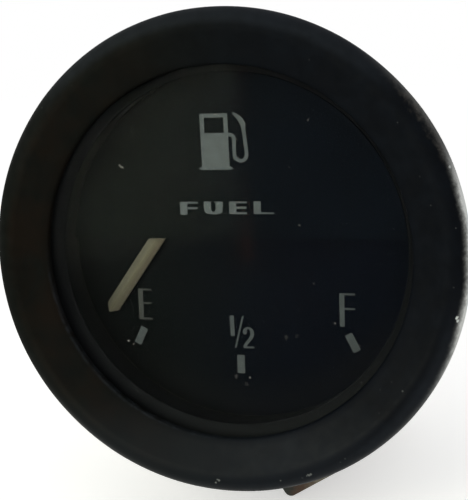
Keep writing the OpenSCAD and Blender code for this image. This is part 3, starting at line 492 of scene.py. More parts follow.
def moulded(name, base, mottle, roughness, grain=0.008):
    """Plastic, rubber or bonded paper: mottled colour and a fine surface grain"""
    finish = Finish(name, base, roughness, specular=0.4)
    finish.coat(finish.noise(0.35, 5, 0.6).between(0.35, 0.7), mottle)
    finish.give("Roughness", finish.noise(1.3, 3).between(0.3, 0.7, roughness - 0.06, roughness + 0.08))
    finish.bump(finish.noise(7.0, 3, 0.6), grain)
    return finish


def dress(finish, *nodes):
    """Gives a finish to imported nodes"""
    for name in nodes:
        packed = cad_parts[name]
        if packed.material_slots:
            for slot in packed.material_slots:
                slot.material = finish.material
        else:
            packed.data.materials.append(finish.material)


def place(piece, body, finish, slot, *replaced):
    """Puts a new piece on its body, with its finish and the nodes that it stands for"""
    piece.data.materials.clear()
    piece.data.materials.append(finish.material)
    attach(piece, body)
    if replaced:
        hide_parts(*replaced)


# Camera and stage

# The camera fitted to the photograph: lens in millimetres, place in metres, and its own three axes
LENS = 73.853
CAMERA_PLACE = Vector((0.03653, -0.12373, 0.02084))
CAMERA_AXES = Matrix((
    (0.96032, 0.27660, -0.03583),
    (-0.01020, 0.16319, 0.98654),
    (0.27873, -0.94703, 0.15954),
)).transposed()

FLOOR_REACH = 6.0

# Where the softbox ends at its right, so that the glass mirrors it as far as the pump
SOFTBOX_EDGE = -0.0432
# How far in front of the panel it stands
SOFTBOX_DISTANCE = 0.18
# How fast its lower fade falls towards its left
FADE_SLOPE = 0.26
BLACK = (0, 0, 0)


class GAUGE_OT_camera(Operator):
    """Set the camera at the photograph's angle"""
    bl_idname = "gauge.camera"
    bl_label = "Camera"

    def execute(self, context):
        lens = bpy.data.cameras.new("camera")
        lens.lens = LENS
        lens.clip_start = 0.001
        camera = bpy.data.objects.new("camera", lens)
        camera.matrix_world = Matrix.Translation(CAMERA_PLACE) @ CAMERA_AXES.to_4x4()
        context.scene.collection.objects.link(camera)
        context.scene.camera = camera
        return {"FINISHED"}


class GAUGE_OT_stage(Operator):
    """Lay the pale floor and set up the soft studio light"""
    bl_idname = "gauge.stage"
    bl_label = "Stage"

    def execute(self, context):
        studio = context.scene.gauge_studio
        context.scene.view_settings.view_transform = "Standard"

        context.scene.world = bpy.data.worlds.new("studio")
        sky = Wiring(context.scene.world, "BACKGROUND")
        sky.give("Color", (1, 1, 1))
        sky.give("Strength", sky.seen_directly().between(0, 1, studio.world_level, 1.0))

        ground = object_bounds()[0].z
        sides = ((-1, -1), (1, -1), (1, 1), (-1, 1))
        corners = [(x * FLOOR_REACH, y * FLOOR_REACH, ground) for x, y in sides]
        floor = add_mesh("floor", corners, [(0, 1, 2, 3)])
        cover = Finish("floor_paper", studio.floor, 1.0, specular=0.0)
        cover.give("Emission Color", (1, 1, 1))
        cover.give("Emission Strength", cover.seen_directly() * studio.floor_glow)
        floor.data.materials.append(cover.material)
        floor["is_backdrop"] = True

        box = bpy.data.lights.new("softbox", "AREA")
        box.shape = "RECTANGLE"
        box.size = studio.softbox_width
        box.size_y = studio.softbox_height
        box.energy = studio.softbox_power
        self.soften(box, studio)
        lamp = bpy.data.objects.new("softbox", box)
        lamp.location = (SOFTBOX_EDGE - box.size / 2, -SOFTBOX_DISTANCE, ground + box.size_y / 2)
        lamp.rotation_euler = (math.radians(90), 0, 0)
        lamp.visible_camera = False
        context.scene.collection.objects.link(lamp)
        return {"FINISHED"}

    def soften(self, box, studio):
        """Fades the softbox at its right and lower edges, with a warm strip at the right one"""
        wires = Wiring(box, "EMISSION")
        across, up, _ = wires.split(wires.add("NewGeometry", {}).outputs["Parametric"])
        from_edge = (1.0 - across) * (studio.softbox_width / MM)
        height = up * (studio.softbox_height / MM)
        white = from_edge.eased(3.2, 7.8) * (height + from_edge * FADE_SLOPE).eased(7.0, 18.0)
        strip = from_edge.eased(0.8, 2.8) * from_edge.eased(4.2, 6.6, 1.0, 0.0)
        warm = wires.blend(strip * height.eased(10.0, 24.0, 1.0, 0.25), BLACK, (1.15, 0.40, 0.10))
        white = wires.blend(white, BLACK, (0.98, 1.0, 0.80))
        wires.give("Color", wires.vector("ADD", white, warm)[0])


# Bezel

def bezel_profile(sizes):
    """Cross-section of the bezel: its outer face from the panel to the lip, then back inside"""
    rim = radius_of("bezel")
    crest = sizes.bezel_crest_radius
    sheet = sizes.bezel_sheet
    foot = rim - sizes.bezel_draft
    centre = Vector((rim - crest, -front_of("bezel") - crest))
    lip = Vector((sizes.lip_radius, sizes.lip_height))
    across = centre - lip
    slope = math.atan2(across.y, across.x) + math.asin((crest - sheet) / across.length)
    lean = 90 + math.degrees(slope)
    soft = 0.00012

    def over_lip(inset):
        """Height of the sheet's face over the lip, at a depth below its outer face"""
        touch = centre + (crest - inset) * Vector((-math.sin(slope), math.cos(slope)))
        return touch.y - (touch.x - lip.x) * math.tan(slope)

    outer = [(foot - soft, 0.0), (foot - soft * 0.3, soft * 0.3), (foot, soft)]
    for t in (i / 7 for i in range(1, 7)):
        outer.append((foot + (rim - foot) * t, centre.y * t))
    outer += arc(centre, crest, 0, lean, 30)
    top, bottom = over_lip(0), over_lip(sheet)
    start = Vector(outer[-2])
    outer += [tuple(start.lerp(Vector((lip.x, top)), t)) for t in (0.25, 0.5, 0.75, 0.93)]
    outer += [(lip.x + 0.00022, top + 0.00010), (lip.x + 0.00006, top - 0.00004), (lip.x, top - 0.0002),
              (lip.x, bottom + 0.00012), (lip.x + 0.0001, bottom + 0.00006)]
    inner = arc(centre, crest - sheet, lean, 0, 16)
    inner += [(rim - sheet - (rim - foot) * 0.5, centre.y * 0.5), (foot - sheet, 0.0)]
    return [(r, -h) for r, h in outer + inner]


class GAUGE_OT_bezel(Operator):
    """Make the pressed bezel with its three claws, and stove it black"""
    bl_idname = "gauge.bezel"
    bl_label = "Bezel"

    def execute(self, context):
        sizes, tones = context.scene.gauge_sizes, context.scene.gauge_colours
        finish = enamel("bezel_enamel", tones.bezel, 1.7, 0.42, 0.05, 0.003, 0.3)
        dull = most(finish.z.eased(-26.0, 4.0, -0.03, 0.24), finish.x.eased(-20.0, -29.0, 0.0, 0.38))
        finish.give("Roughness", finish.given["Roughness"] + dull)

        radius = finish.radius()
        # Painted warm light: browner patches in a band on the bezel's left
        warm = finish.x.eased(0.0, -24.0) * finish.noise(0.16, 4, 0.6).between(0.35, 0.6)
        finish.coat(warm * radius.between(27.4, 28.4, 1.0, 0.0), tones.bezel_warm_light)
        # Painted highlights on the crest, the bottom and the lip
        finish.coat(self.painted_sheen(finish, radius), tones.bezel_sheen)
        # The rubbed edge is also a painted rim highlight
        edge, scuff = self.rim_highlight_and_rubbing(finish, radius)
        finish.coat(scuff, tones.scuffed)
        finish.coat(edge, tones.rubbed)
        specks = finish.cells(0.75).between(0.05, 0.09, 1.0, 0.0)
        specks *= finish.noise(0.5, 2).between(0.60, 0.68, 0.0, 0.03)
        finish.coat(most(finish.spots(CHIPS), specks), tones.chip)

        def dented(radius, angle):
            return radius - abs(0.000012 * math.sin(5 * angle + 0.6) + 0.000008 * math.sin(13 * angle))

        bezel = lathe("pressed_bezel", bezel_profile(sizes), sizes.bezel_segments, dented)
        place(bezel, "bezel_body", finish, "bezel_black", "bezel")
        for degrees in (30, -90, -210):
            place(self.claw(sizes, math.radians(degrees)), "bezel_body", finish, "bezel_black", "bezel")
        return {"FINISHED"}

    def painted_sheen(self, finish, radius):
        """Painted highlights: a faint grey sheen on the crest and the bottom, and a lighter line on the lip
        at the lower left where the enamel is also worn
        """
        lower_right = (finish.x * 0.5 - finish.z).eased(14.0, 28.0, 0.0, 0.2)
        crest = most(finish.z.eased(17.0, 25.0, 0.0, 0.2), lower_right) * radius.eased(27.6, 28.8)
        crest *= finish.noise(0.8, 4, 0.6).between(0.3, 0.6, 0.7, 1.0)
        lip = (finish.x + finish.z * 1.2).eased(-20.0, -32.0) * radius.between(23.46, 23.66, 0.26, 0.0)
        lip *= finish.noise(1.0, 5, 0.7).between(0.38, 0.6, 0.1, 1.0)
        return most(crest, finish.z.eased(-17.0, -25.5, 0.0, 0.13), lip)

    def rim_highlight_and_rubbing(self, finish, radius):
        """A painted rim highlight, laid where the enamel is rubbed off the outer edge at the gauge's right:
        how far it reaches, and the scuffs above that
        """
        angle = finish.calc("ARCTAN2", finish.z, finish.x)
        uneven = finish.noise(1.3, 6, 0.7).between(0.3, 0.7, -0.13, 0.13)
        bare = radius + uneven
        for middle, half, inward in RUBBED:
            bare += abs(angle - middle).eased(0.0, half, inward, 0.0)
        reach = angle.eased(-0.66, -0.20, 0.08, 1.0) * angle.eased(0.24, 0.48, 1.0, 0.08)
        reach *= abs(angle).between(0.7, 0.95, 1.0, 0.0)
        edge = reach * finish.calc("POWER", bare.between(29.0, 29.9), 3.3)
        scuff = (radius + uneven * 4.0).eased(28.9, 29.9, 0.0, 0.065) * angle.eased(0.34, 0.48)
        scuff *= angle.eased(0.62, 0.86, 1.0, 0.0)
        scuff *= finish.noise(0.7, 4, 0.7).between(0.38, 0.62, 0.15, 1.0)
        front = finish.y.between(-5.2, -4.2, 1.0, 0.0)
        return edge * front, scuff * front

    def claw(self, sizes, middle):
        """A tab turned in behind the case's flange"""
        sheet = sizes.bezel_sheet
        outer = radius_of("bezel") - sizes.bezel_draft - sheet * 0.6
        depth = 0.00178
        inner = outer - depth
        profile = [(outer, 0.0), (inner + 0.0002, 0.0), (inner, -0.0002), (inner, -sheet + 0.0001),
                   (inner + 0.0001, -sheet), (outer, -sheet)]
        half, steps = math.radians(10), 10
        angles = [middle - half + 2 * half * s / steps for s in range(steps + 1)]
        verts, faces = [], []
        skin([[polar(radius, angle, y) for radius, y in profile] for angle in angles], verts, faces)
        return add_mesh("bezel_claw", verts, faces)


# Where the painted rim highlight and the rubbed enamel reach furthest: angle and half width in radians, and
# how far inward in millimetres
RUBBED = ((0.24, 0.13, 0.12), (0.02, 0.20, 0.15), (-0.24, 0.16, 0.18))

# Spots where the bezel's enamel has gone: x, y, z, reach in millimetres, and strength; the strongest, on the
# right rim, are also the peaks of the painted rim highlight
CHIPS = (
    (-0.78, -7.39, -28.03, 0.17, 0.18), (-0.96, -7.38, -27.93, 0.12, 0.15),
    (-1.20, -7.33, -28.37, 0.16, 0.18), (7.16, -7.34, -27.46, 0.11, 0.12),
    (10.95, -7.27, -26.40, 0.17, 0.16), (10.70, -7.27, -26.50, 0.20, 0.16),
    (10.45, -7.27, -26.64, 0.13, 0.12), (9.87, -7.23, -26.96, 0.14, 0.03),
    (14.66, -7.26, -24.58, 0.11, 0.03), (15.22, -7.31, -24.08, 0.13, 0.035),
    (22.16, -7.18, -15.33, 0.14, 0.065), (19.37, -6.08, -15.68, 0.10, 0.015),
    (20.79, -6.33, -14.55, 0.10, 0.02), (27.62, -6.44, 10.79, 0.20, 0.62), (28.41, -6.97, -6.40, 0.22, 1.0),
    (28.50, -6.85, -6.80, 0.20, 1.0), (28.62, -6.80, -7.15, 0.14, 0.9), (25.02, -6.10, 16.25, 0.15, 0.025),
    (22.36, -5.58, 19.95, 0.16, 0.015), (21.91, -7.23, 15.93, 0.10, 0.03), (28.33, -7.26, 3.99, 0.11, 0.05),
    (28.08, -7.37, -2.81, 0.11, 0.025), (-20.82, -4.68, 10.42, 0.10, 0.015),
    (-8.30, -5.30, 21.99, 0.10, 0.015),
)

# Specks, smears and a hair on the glass: x and z, reach in millimetres, and strength
DUST = (
    (-13.20, 11.32, 0.13, 0.9), (-13.05, 11.20, 0.13, 0.9), (-12.90, 11.08, 0.13, 0.9),
    (-12.75, 10.97, 0.13, 0.9), (11.01, 16.37, 0.18, 0.6), (8.62, 10.77, 0.12, 0.5),
    (11.24, -3.34, 0.14, 0.5), (15.42, 4.01, 0.12, 0.4), (9.70, 3.80, 0.20, 0.4), (13.75, -8.20, 0.14, 0.9),
    (16.73, -10.82, 0.12, 0.4), (-13.24, -11.28, 0.15, 1.0), (-12.58, -11.71, 0.13, 0.7),
    (1.01, -15.42, 0.30, 0.34), (2.83, -15.47, 0.16, 0.9), (2.36, -16.32, 0.30, 0.25),
    (7.61, -10.16, 0.30, 0.28), (9.00, -9.93, 0.26, 0.24), (6.33, -6.41, 0.34, 0.10),
    (4.87, -8.22, 0.14, 0.3), (9.34, -6.63, 0.34, 0.12), (8.76, -14.22, 0.12, 0.2),
    (20.99, 3.40, 0.12, 0.5), (-22.92, 4.53, 0.12, 0.4), (-12.39, -17.97, 0.12, 0.4),
    (16.85, -15.47, 0.12, 0.4),
)


class GAUGE_OT_glass(Operator):
    """Give the glass its clear, slightly dusty finish, and the gasket and plugs their rubber"""
    bl_idname = "gauge.glass"
    bl_label = "Glass"

    def execute(self, context):
        finish = Finish("front_glass", (0.012, 0.013, 0.013), 0.03)
        specks = finish.cells(0.9).between(0.05, 0.12, 1.0, 0.0)
        specks *= finish.noise(0.32, 2).between(0.50, 0.64, 0.0, 0.22)
        face = front_of("glass") / MM
        dust = finish.spots([(x, face, z, reach, strength) for x, z, reach, strength in DUST], 0.4)
        along = self.scratch(finish, 0.35, 9.0, 0.062)
        across = self.scratch(finish, 7.0, 0.30, 0.024)
        marks = most(along, across, most(specks, dust))
        finish.coat(marks, context.scene.gauge_colours.dust)
        finish.give("Roughness", marks.between(0, 1, 0.03, 0.6))
        haze = finish.noise(0.11, 4, 0.6).between(0.4, 0.75, 0.0, 0.006)
        finish.give("Alpha", finish.facing(0.014, 0.8) + haze + marks * 0.6)
        dress(finish, "glass")
        rubber = moulded("gasket_rubber", (0.010, 0.010, 0.010), (0.016, 0.015, 0.014), 0.6)
        dress(rubber, "glass_gasket", "adjuster_plugs")
        return {"FINISHED"}

    def scratch(self, finish, x, z, scale):
        """Very thin, broken, wandering lines, from a noise squeezed along two axes"""
        wave = finish.noise(scale, 1, 0.5, finish.stretched(x, 1, z))
        line = abs(wave - 0.5).between(0.0, 0.0016, 1.0, 0.0)
        return line * finish.noise(0.16, 3).between(0.6, 0.66) * 0.12


# Dial

# Outlines of the printed marks, in millimetres across and up the dial
LETTER_E = [(-14.70, -6.05), (-12.80, -6.05), (-12.80, -6.27), (-14.02, -6.27), (-14.02, -7.90),
            (-12.86, -7.90), (-12.86, -8.12), (-14.02, -8.12), (-14.02, -10.06), (-12.80, -10.06),
            (-12.80, -10.28), (-14.67, -10.28)]
LETTER_F = [(12.90, -6.07), (14.93, -6.07), (14.93, -6.31), (13.54, -6.31), (13.54, -7.98), (14.92, -7.98),
            (14.92, -8.23), (13.54, -8.23), (13.54, -10.45), (12.92, -10.45)]
NUMERAL_1 = [(-1.87, -9.43), (-1.30, -9.40), (-1.24, -12.16), (-1.80, -12.18)]
FRACTION_BAR = [(-0.16, -9.45), (0.06, -9.45), (-1.06, -13.76), (-1.30, -13.76)]
NUMERAL_2 = [(-0.13, -11.62), (-0.10, -11.38), (0.05, -11.14), (0.32, -10.96), (0.66, -10.90),
             (1.03, -11.01), (1.28, -11.26), (1.41, -11.62), (1.41, -11.94), (1.31, -12.29), (1.08, -12.62),
             (0.77, -12.95), (0.50, -13.28), (0.34, -13.55), (1.37, -13.55), (1.37, -13.80),
             (-0.06, -13.80), (-0.10, -13.62), (-0.04, -13.36), (0.17, -13.05), (0.48, -12.70),
             (0.73, -12.37), (0.88, -12.04), (0.92, -11.72), (0.87, -11.42), (0.76, -11.24), (0.62, -11.17),
             (0.49, -11.24), (0.43, -11.40), (0.41, -11.66), (0.33, -11.88), (0.15, -11.95),
             (-0.04, -11.84)]
WORD_LETTERS = {
    "letter_f": [(-7.42, 6.00), (-4.99, 6.00), (-4.99, 5.76), (-6.46, 5.76), (-6.46, 5.31), (-5.03, 5.31),
                 (-5.03, 5.04), (-6.46, 5.04), (-6.46, 4.32), (-7.42, 4.32)],
    "letter_u": [(-4.17, 6.02), (-3.22, 6.02), (-3.22, 4.98), (-3.13, 4.76), (-2.90, 4.68), (-2.68, 4.76),
                 (-2.59, 4.98), (-2.59, 6.02), (-1.66, 6.02), (-1.66, 5.00), (-1.78, 4.66), (-2.12, 4.44),
                 (-2.90, 4.36), (-3.70, 4.44), (-4.05, 4.66), (-4.17, 5.00)],
    "letter_e": [(-0.78, 6.02), (1.58, 6.02), (1.58, 5.80), (0.17, 5.80), (0.17, 5.37), (1.50, 5.37),
                 (1.50, 5.07), (0.17, 5.07), (0.17, 4.64), (1.56, 4.64), (1.56, 4.40), (-0.78, 4.40)],
    "letter_l": [(2.48, 6.04), (3.42, 6.04), (3.42, 4.64), (5.12, 4.62), (5.12, 4.41), (2.48, 4.41)],
}
PUMP_BODY = [(-4.30, 17.26), (-0.62, 17.26), (-0.52, 10.46), (-0.16, 10.46), (-0.16, 10.12), (-4.54, 10.12),
             (-4.54, 10.46), (-4.18, 10.46)]
PUMP_WINDOW = [(-3.74, 16.76), (-1.14, 16.76), (-1.10, 14.79), (-3.72, 14.79)]
HOSE_LINE = [(-0.62, 14.56), (-0.05, 14.46), (0.17, 13.95), (0.16, 12.20), (0.34, 11.56), (0.95, 11.22),
             (1.52, 11.42), (1.78, 12.05), (1.68, 13.20), (1.55, 14.40), (1.44, 15.30)]
HOSE_WIDTH = 0.46
NOZZLE = [(1.23, 15.20), (1.14, 15.60), (0.96, 16.02), (0.58, 16.62), (0.08, 17.13), (0.06, 17.27),
          (0.22, 17.33), (0.84, 17.06), (1.28, 16.68), (1.62, 16.20), (1.78, 15.86), (1.73, 15.52),
          (1.66, 15.20)]

# The middle tick stands a little to the left of the pivot
MIDDLE_TICK_X = -0.0005


class GAUGE_OT_dial(Operator):
    """Paint the dial, its mask and the trim ring, and print the scale, numerals, letters and pump"""
    bl_idname = "gauge.dial"
    bl_label = "Dial and marks"

    def execute(self, context):
        sizes, tones = context.scene.gauge_sizes, context.scene.gauge_colours
        dial = enamel("dial_black", tones.dial, 1.35, 0.6, 0.025)
        # Painted light: the dial is paler towards its bottom rim
        painted_bottom_light = dial.radius().eased(17.0, 22.5) * dial.z.eased(-6.0, -19.0, 0.0, 0.22)
        painted_bottom_light *= dial.noise(0.6, 5, 0.65).between(0.3, 0.7, 0.5, 1.0)
        dial.coat(painted_bottom_light, (0.030, 0.031, 0.029))
        self.line(dial, dial.radius().between(22.95, 23.15))
        dress(dial, "dial_plate")
        dress(enamel("mask_black", tones.mask, 1.3, 0.6, 0.025), "dial_mask")

        trim = enamel("trim_black", tones.trim, 1.3, 0.5, 0.025)
        trim.coat(trim.y.between(-2.2, 0.4, 1.0, 0.0), scaled(tones.trim, 0.6))
        # Painted light: the trim ring is paler towards its bottom, and its flange under the lip is lifted
        # paler where the lip's shade falls
        low = trim.z.between(14.0, -24.0) * trim.y.between(-2.1, -0.6, 0.5, 1.0)
        low *= trim.noise(0.5, 5, 0.65).between(0.3, 0.7, 0.6, 1.0)
        trim.coat(low, (0.0305, 0.0345, 0.0370))
        painted_shelf_light = trim.y.between(-2.02, -1.8, 1.0, 0.0) * trim.radius().between(22.3, 23.6, 0.15, 1.0)
        trim.coat(painted_shelf_light * (trim.x + trim.z).between(14.0, -10.0), (0.0240, 0.0265, 0.0285))
        self.line(trim, trim.y.between(3.25, 3.5))
        dress(trim, "trim_ring")

        mask_ink = self.ink("mask_ink", tones.legend)
        # Painted shade: the marks on the dial use darker copies of the mask's ink, and the E a darker one
        # still
        ink = self.ink("dial_ink_with_painted_shade", scaled(tones.legend, 0.78))
        deepest_shaded_ink = self.ink("sign_e_ink_with_painted_shade", [c * f for c, f in zip(tones.legend, (0.54, 0.50, 0.46))])
        marks = [("tick_" + name, [self.tick(sizes, side)], ink, "dial_plate")
                 for name, side in (("empty", -1), ("half", 0), ("full", 1))]
        marks += [
            ("sign_empty", [LETTER_E], deepest_shaded_ink, "dial_plate"),
            ("sign_full", [LETTER_F], ink, "dial_plate"),
            ("sign_half", [NUMERAL_1, FRACTION_BAR, NUMERAL_2], ink, "dial_plate"),
        ]
        for name, outline in WORD_LETTERS.items():
            marks.append(("word_" + name, [outline], mask_ink, "dial_mask"))
        hose = stroke(smooth_line(HOSE_LINE), HOSE_WIDTH)
        for name, outlines in (("body", [PUMP_BODY, PUMP_WINDOW]), ("hose", [hose]), ("nozzle", [NOZZLE])):
            marks.append(("pump_" + name, outlines, mask_ink, "dial_mask"))
        for name, outlines, finish, plate in marks:
            piece = printed(name, outlines, front_of(plate), sizes.print_thickness)
            place(piece, "case", finish, "dial_black" if plate == "dial_plate" else "mask_black")
        return {"FINISHED"}

    def line(self, finish, where):
        """A thin dusty line where the trim ring meets the dial, at the lower left"""
        dusty = where * (finish.x + finish.z * 1.2).eased(-18.0, -30.0)
        broken = finish.noise(1.2, 3).between(0.35, 0.6, 0.2, 0.7)
        finish.coat(dusty * broken, (0.045, 0.046, 0.038))

    def ink(self, name, base):
        """Printing ink, greyed here and there, with a slightly rough skin"""
        ink = Finish(name, base, 0.7, specular=0.15)
        ink.coat(ink.noise(0.8, 4, 0.6).between(0.35, 0.7), scaled(base, 0.78))
        ink.bump(ink.noise(9.0, 2), 0.003)
        return ink

    def tick(self, sizes, side):
        """Corners of a tick on a line through the pivot, in millimetres; side is -1, 0 or 1"""
        angle = side * sizes.scale_half_angle
        down = Vector((math.sin(angle), -math.cos(angle)))
        half = Vector((-down.y, down.x)) * sizes.tick_width / 2
        pivot = Vector((0.0 if side else MIDDLE_TICK_X, sizes.pivot_height))
        near = pivot + down * sizes.tick_inner
        far = near + down * sizes.tick_length
        return [tuple(p / MM) for p in (near - half, near + half, far + half, far - half)]


# Degrees from straight down to the pointer at rest, as packed
POINTER_REST = 36


class GAUGE_OT_pointer(Operator):
    """Paint the pointer, with a paler streak along its crease as a painted highlight, and a painted shade on
    its right facet
    """
    bl_idname = "gauge.pointer"
    bl_label = "Pointer"

    def execute(self, context):
        sizes, tones = context.scene.gauge_sizes, context.scene.gauge_colours
        finish = Finish("pointer_paint", tones.pointer, 0.6, specular=0.2)
        lean = math.radians(POINTER_REST)
        across = finish.vector("DOT_PRODUCT", finish.place, (math.cos(lean), 0, -math.sin(lean)))["Value"]
        offset = Level(finish, across) + sizes.pivot_height / MM * math.sin(lean)
        # Painted shade on the right facet, and a painted highlight along the crease
        finish.coat(offset.between(0.1, 0.5), [c * f for c, f in zip(tones.pointer, (0.90, 0.80, 0.74))])
        finish.coat(abs(offset).between(0.1, 0.55, 1.0, 0.0) * 0.6, tones.pointer_crease_highlight)
        finish.coat(finish.noise(0.9, 5, 0.65).between(0.45, 0.75, 0.0, 0.4), scaled(tones.pointer, 0.55))
        finish.coat(finish.z.between(2.0, -7.0, 0.0, 0.5), scaled(tones.pointer, 0.62))
        finish.bump(finish.noise(6.0, 3), 0.004)
        dress(finish, "pointer")
        return {"FINISHED"}


# Case, clamp and rear fittings

class GAUGE_OT_case(Operator):
    """Plate the case, and finish the terminals and insulators"""
    bl_idname = "gauge.case"
    bl_label = "Case and terminals"

    def execute(self, context):
        tones = context.scene.gauge_colours
        dress(metal("case_zinc", tones.zinc, tones.zinc_tint, 0.34, (0.35, 5.0, 0.35), 0.9), "case_can")
        brass = metal("terminal_brass", tones.brass, scaled(tones.brass, 0.55), 0.36, (4.0, 0.4, 4.0), 1.6)
        dress(brass, "supply_terminal", "sender_terminal", "terminal_rivets", "earth_tab", "earth_rivet",
              "lamp_terminal", "lamp_contacts")
        paper = moulded("bonded_paper", tones.insulator, scaled(tones.insulator, 0.6), 0.5, 0.02)
        dress(paper, "outer_insulator", "inner_insulator")
        return {"FINISHED"}


class GAUGE_OT_movement(Operator):
    """Finish the movement inside the case"""
    bl_idname = "gauge.movement"
    bl_label = "Movement"

    def execute(self, context):
        tones = context.scene.gauge_colours
        dress(metal("movement_plate", (0.52, 0.51, 0.47), (0.44, 0.40, 0.30), 0.38, (3.0, 3.0, 0.5), 1.2),
              "mask_spacers", "dial_screws", "dial_pillars", "arbor_bridge", "movement_frame",
              "movement_screws")
        dress(metal("movement_steel", tones.steel, scaled(tones.steel, 0.6), 0.3, (2.0, 4.0, 2.0), 1.8),
              "pointer_arbor", "quadrant_clip", "span_pivot_rivet", "anchor_rivet")
        dress(metal("movement_brass", tones.brass, scaled(tones.brass, 0.6), 0.34, (3.0, 3.0, 3.0), 1.4),
              "bridge_rivets", "rear_bush", "frame_spacers", "zero_quadrant", "span_quadrant")
        dress(metal("bimetal_strip", (0.40, 0.36, 0.29), (0.30, 0.22, 0.14), 0.4, (6.0, 6.0, 0.5), 1.0),
              "bimetal_anchor_leg", "bimetal_active_leg")
        cloth = Finish("woven_sleeve", (0.60, 0.55, 0.42), 0.9, specular=0.1)
        weave = cloth.cells(3.2, cloth.stretched(1.0, 1.0, 0.55))
        cloth.coat(weave.between(0.1, 0.6), (0.34, 0.29, 0.19))
        cloth.bump(weave.between(0.0, 0.6, 1.0, 0.0), 0.08)
        dress(cloth, "heater_sleeve")
        cotton = Finish("cotton_covering", (0.17, 0.13, 0.075), 0.95, specular=0.1)
        lay = cotton.noise(9.0, 2, 0.5, cotton.stretched(2.0, 1.0, 1.0))
        cotton.coat(lay, (0.33, 0.27, 0.16))
        cotton.bump(lay, 0.03)
        dress(cotton, "heater_winding")
        return {"FINISHED"}


class GAUGE_OT_clamp(Operator):
    """Finish the clamp, cut the studs' threads, and knurl the thumb nuts"""
    bl_idname = "gauge.clamp"
    bl_label = "Clamp, studs and nuts"

    def execute(self, context):
        sizes, tones = context.scene.gauge_sizes, context.scene.gauge_colours
        tan = Finish("clamp_tan", tones.clamp, 0.6, metallic=0.1, specular=0.25)
        tan.coat(tan.noise(0.16, 6, 0.65).between(0.4, 0.68), scaled(tones.clamp, 0.72))
        across = tan.x + tan.noise(1.1, 4, 0.65).between(0.3, 0.7, -0.6, 0.6)
        # Painted shade at the toe's left end; the toe then goes brown and paler towards its right
        foot = tan.blend(across.eased(5.7, 7.2), (0.034, 0.037, 0.033), (0.088, 0.054, 0.038))
        foot = tan.blend(across.eased(7.6, 11.0), foot, (0.260, 0.245, 0.190))
        tan.coat(tan.z.eased(-28.0, -30.5), foot)
        rust = tan.noise(0.55, 6, 0.7).between(0.56, 0.68)
        tan.coat(rust, tones.clamp_rust)
        tan.give("Roughness", rust.between(0, 1, 0.48, 0.8))
        tan.bump(tan.noise(2.2, 5, 0.65), 0.02)
        dress(tan, "clamp_bracket")

        steel = metal("stud_steel", (0.50, 0.48, 0.42), (0.36, 0.31, 0.22), 0.4, (5.0, 0.5, 5.0), 2.0)
        dress(steel, "spring_washers")
        nuts = ("lower_nut", "upper_nut")
        verts, faces = [], []
        for nut in nuts:
            self.stud(sizes, middle_of(nut), verts, faces)
        place(add_mesh("threaded_studs", verts, faces, 55), "case", steel, "plated_steel", "mounting_studs")

        brass = metal("nut_brass", tones.brass, scaled(tones.brass, 0.5), 0.38, (3.0, 3.0, 3.0), 1.2, 0.3)
        for nut in nuts:
            place(self.thumb_nut(sizes, nut), nut + "_body", brass, "brass", nut)
        return {"FINISHED"}

    def stud(self, sizes, centre, verts, faces):
        """Adds a stud: a flat head inside the case and a helical thread behind it"""
        low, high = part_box("mounting_studs")
        radius, head, bevel = 0.002, 0.003, 0.0002
        head_back = low.y + 0.001
        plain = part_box("case_can")[1].y + 0.0006
        sides, per_turn = 28, 10
        angles = [2 * math.pi * s / sides for s in range(sides)]
        rings = []
        for r, y in ((head - bevel, low.y), (head, low.y + bevel), (head, head_back), (radius, head_back),
                     (radius, plain)):
            rings.append([polar(r, angle, y, centre) for angle in angles])
        count = int((high.y - plain) / sizes.thread_pitch * per_turn)
        for i in range(1, count + 1):
            y = plain + (high.y - plain) * i / count
            depth = sizes.thread_depth * min(1.0, i / per_turn, (count - i) / (per_turn * 0.5))
            chamfer = 0.0003 * max(0.0, 1 - (count - i) / (per_turn * 0.6))
            ring = []
            for s, angle in enumerate(angles):
                phase = (y / sizes.thread_pitch - s / sides) % 1.0
                groove = max(0.0, 1 - abs(phase - 0.5) * 2.6)
                ring.append(polar(radius - groove * depth - chamfer, angle, y, centre))
            rings.append(ring)
        skin(rings, verts, faces)

    def thumb_nut(self, sizes, node):
        """A knurled wheel with a plain neck and a chamfered bore"""
        low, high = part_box(node)
        rim = radius_of(node)
        neck = rim - 0.0013
        bore = 0.00205
        neck_y = low.y + 0.002
        bevel = 0.0003
        profile = [
            (bore + 0.0003, low.y), (neck - 0.0002, low.y), (neck, low.y + 0.0002), (neck, neck_y - 0.0001),
            (neck + 0.0001, neck_y), (rim - bevel, neck_y), (rim, neck_y + bevel), (rim, high.y - bevel),
            (rim - bevel, high.y), (neck - 0.0006, high.y), (neck - 0.0009, high.y - 0.00025),
            (bore + 0.0007, high.y - 0.00025), (bore, high.y - 0.0006), (bore, low.y + 0.0003),
        ]
        segments = sizes.knurl_count * 6

        def knurled(radius, angle):
            """Cuts a groove into the rim at every sixth of its segments"""
            tooth = abs(round(angle / (2 * math.pi) * segments) % 6 / 3 - 1)
            return radius - (sizes.knurl_depth * (1 - min(1.0, tooth * 1.6)) if radius == rim else 0)

        return lathe("thumb_" + node, profile, segments, knurled, 28, middle_of(node))


# The angle of the line through the two studs, from straight down, as packed
CLAMP_DIRECTION = math.radians(32)


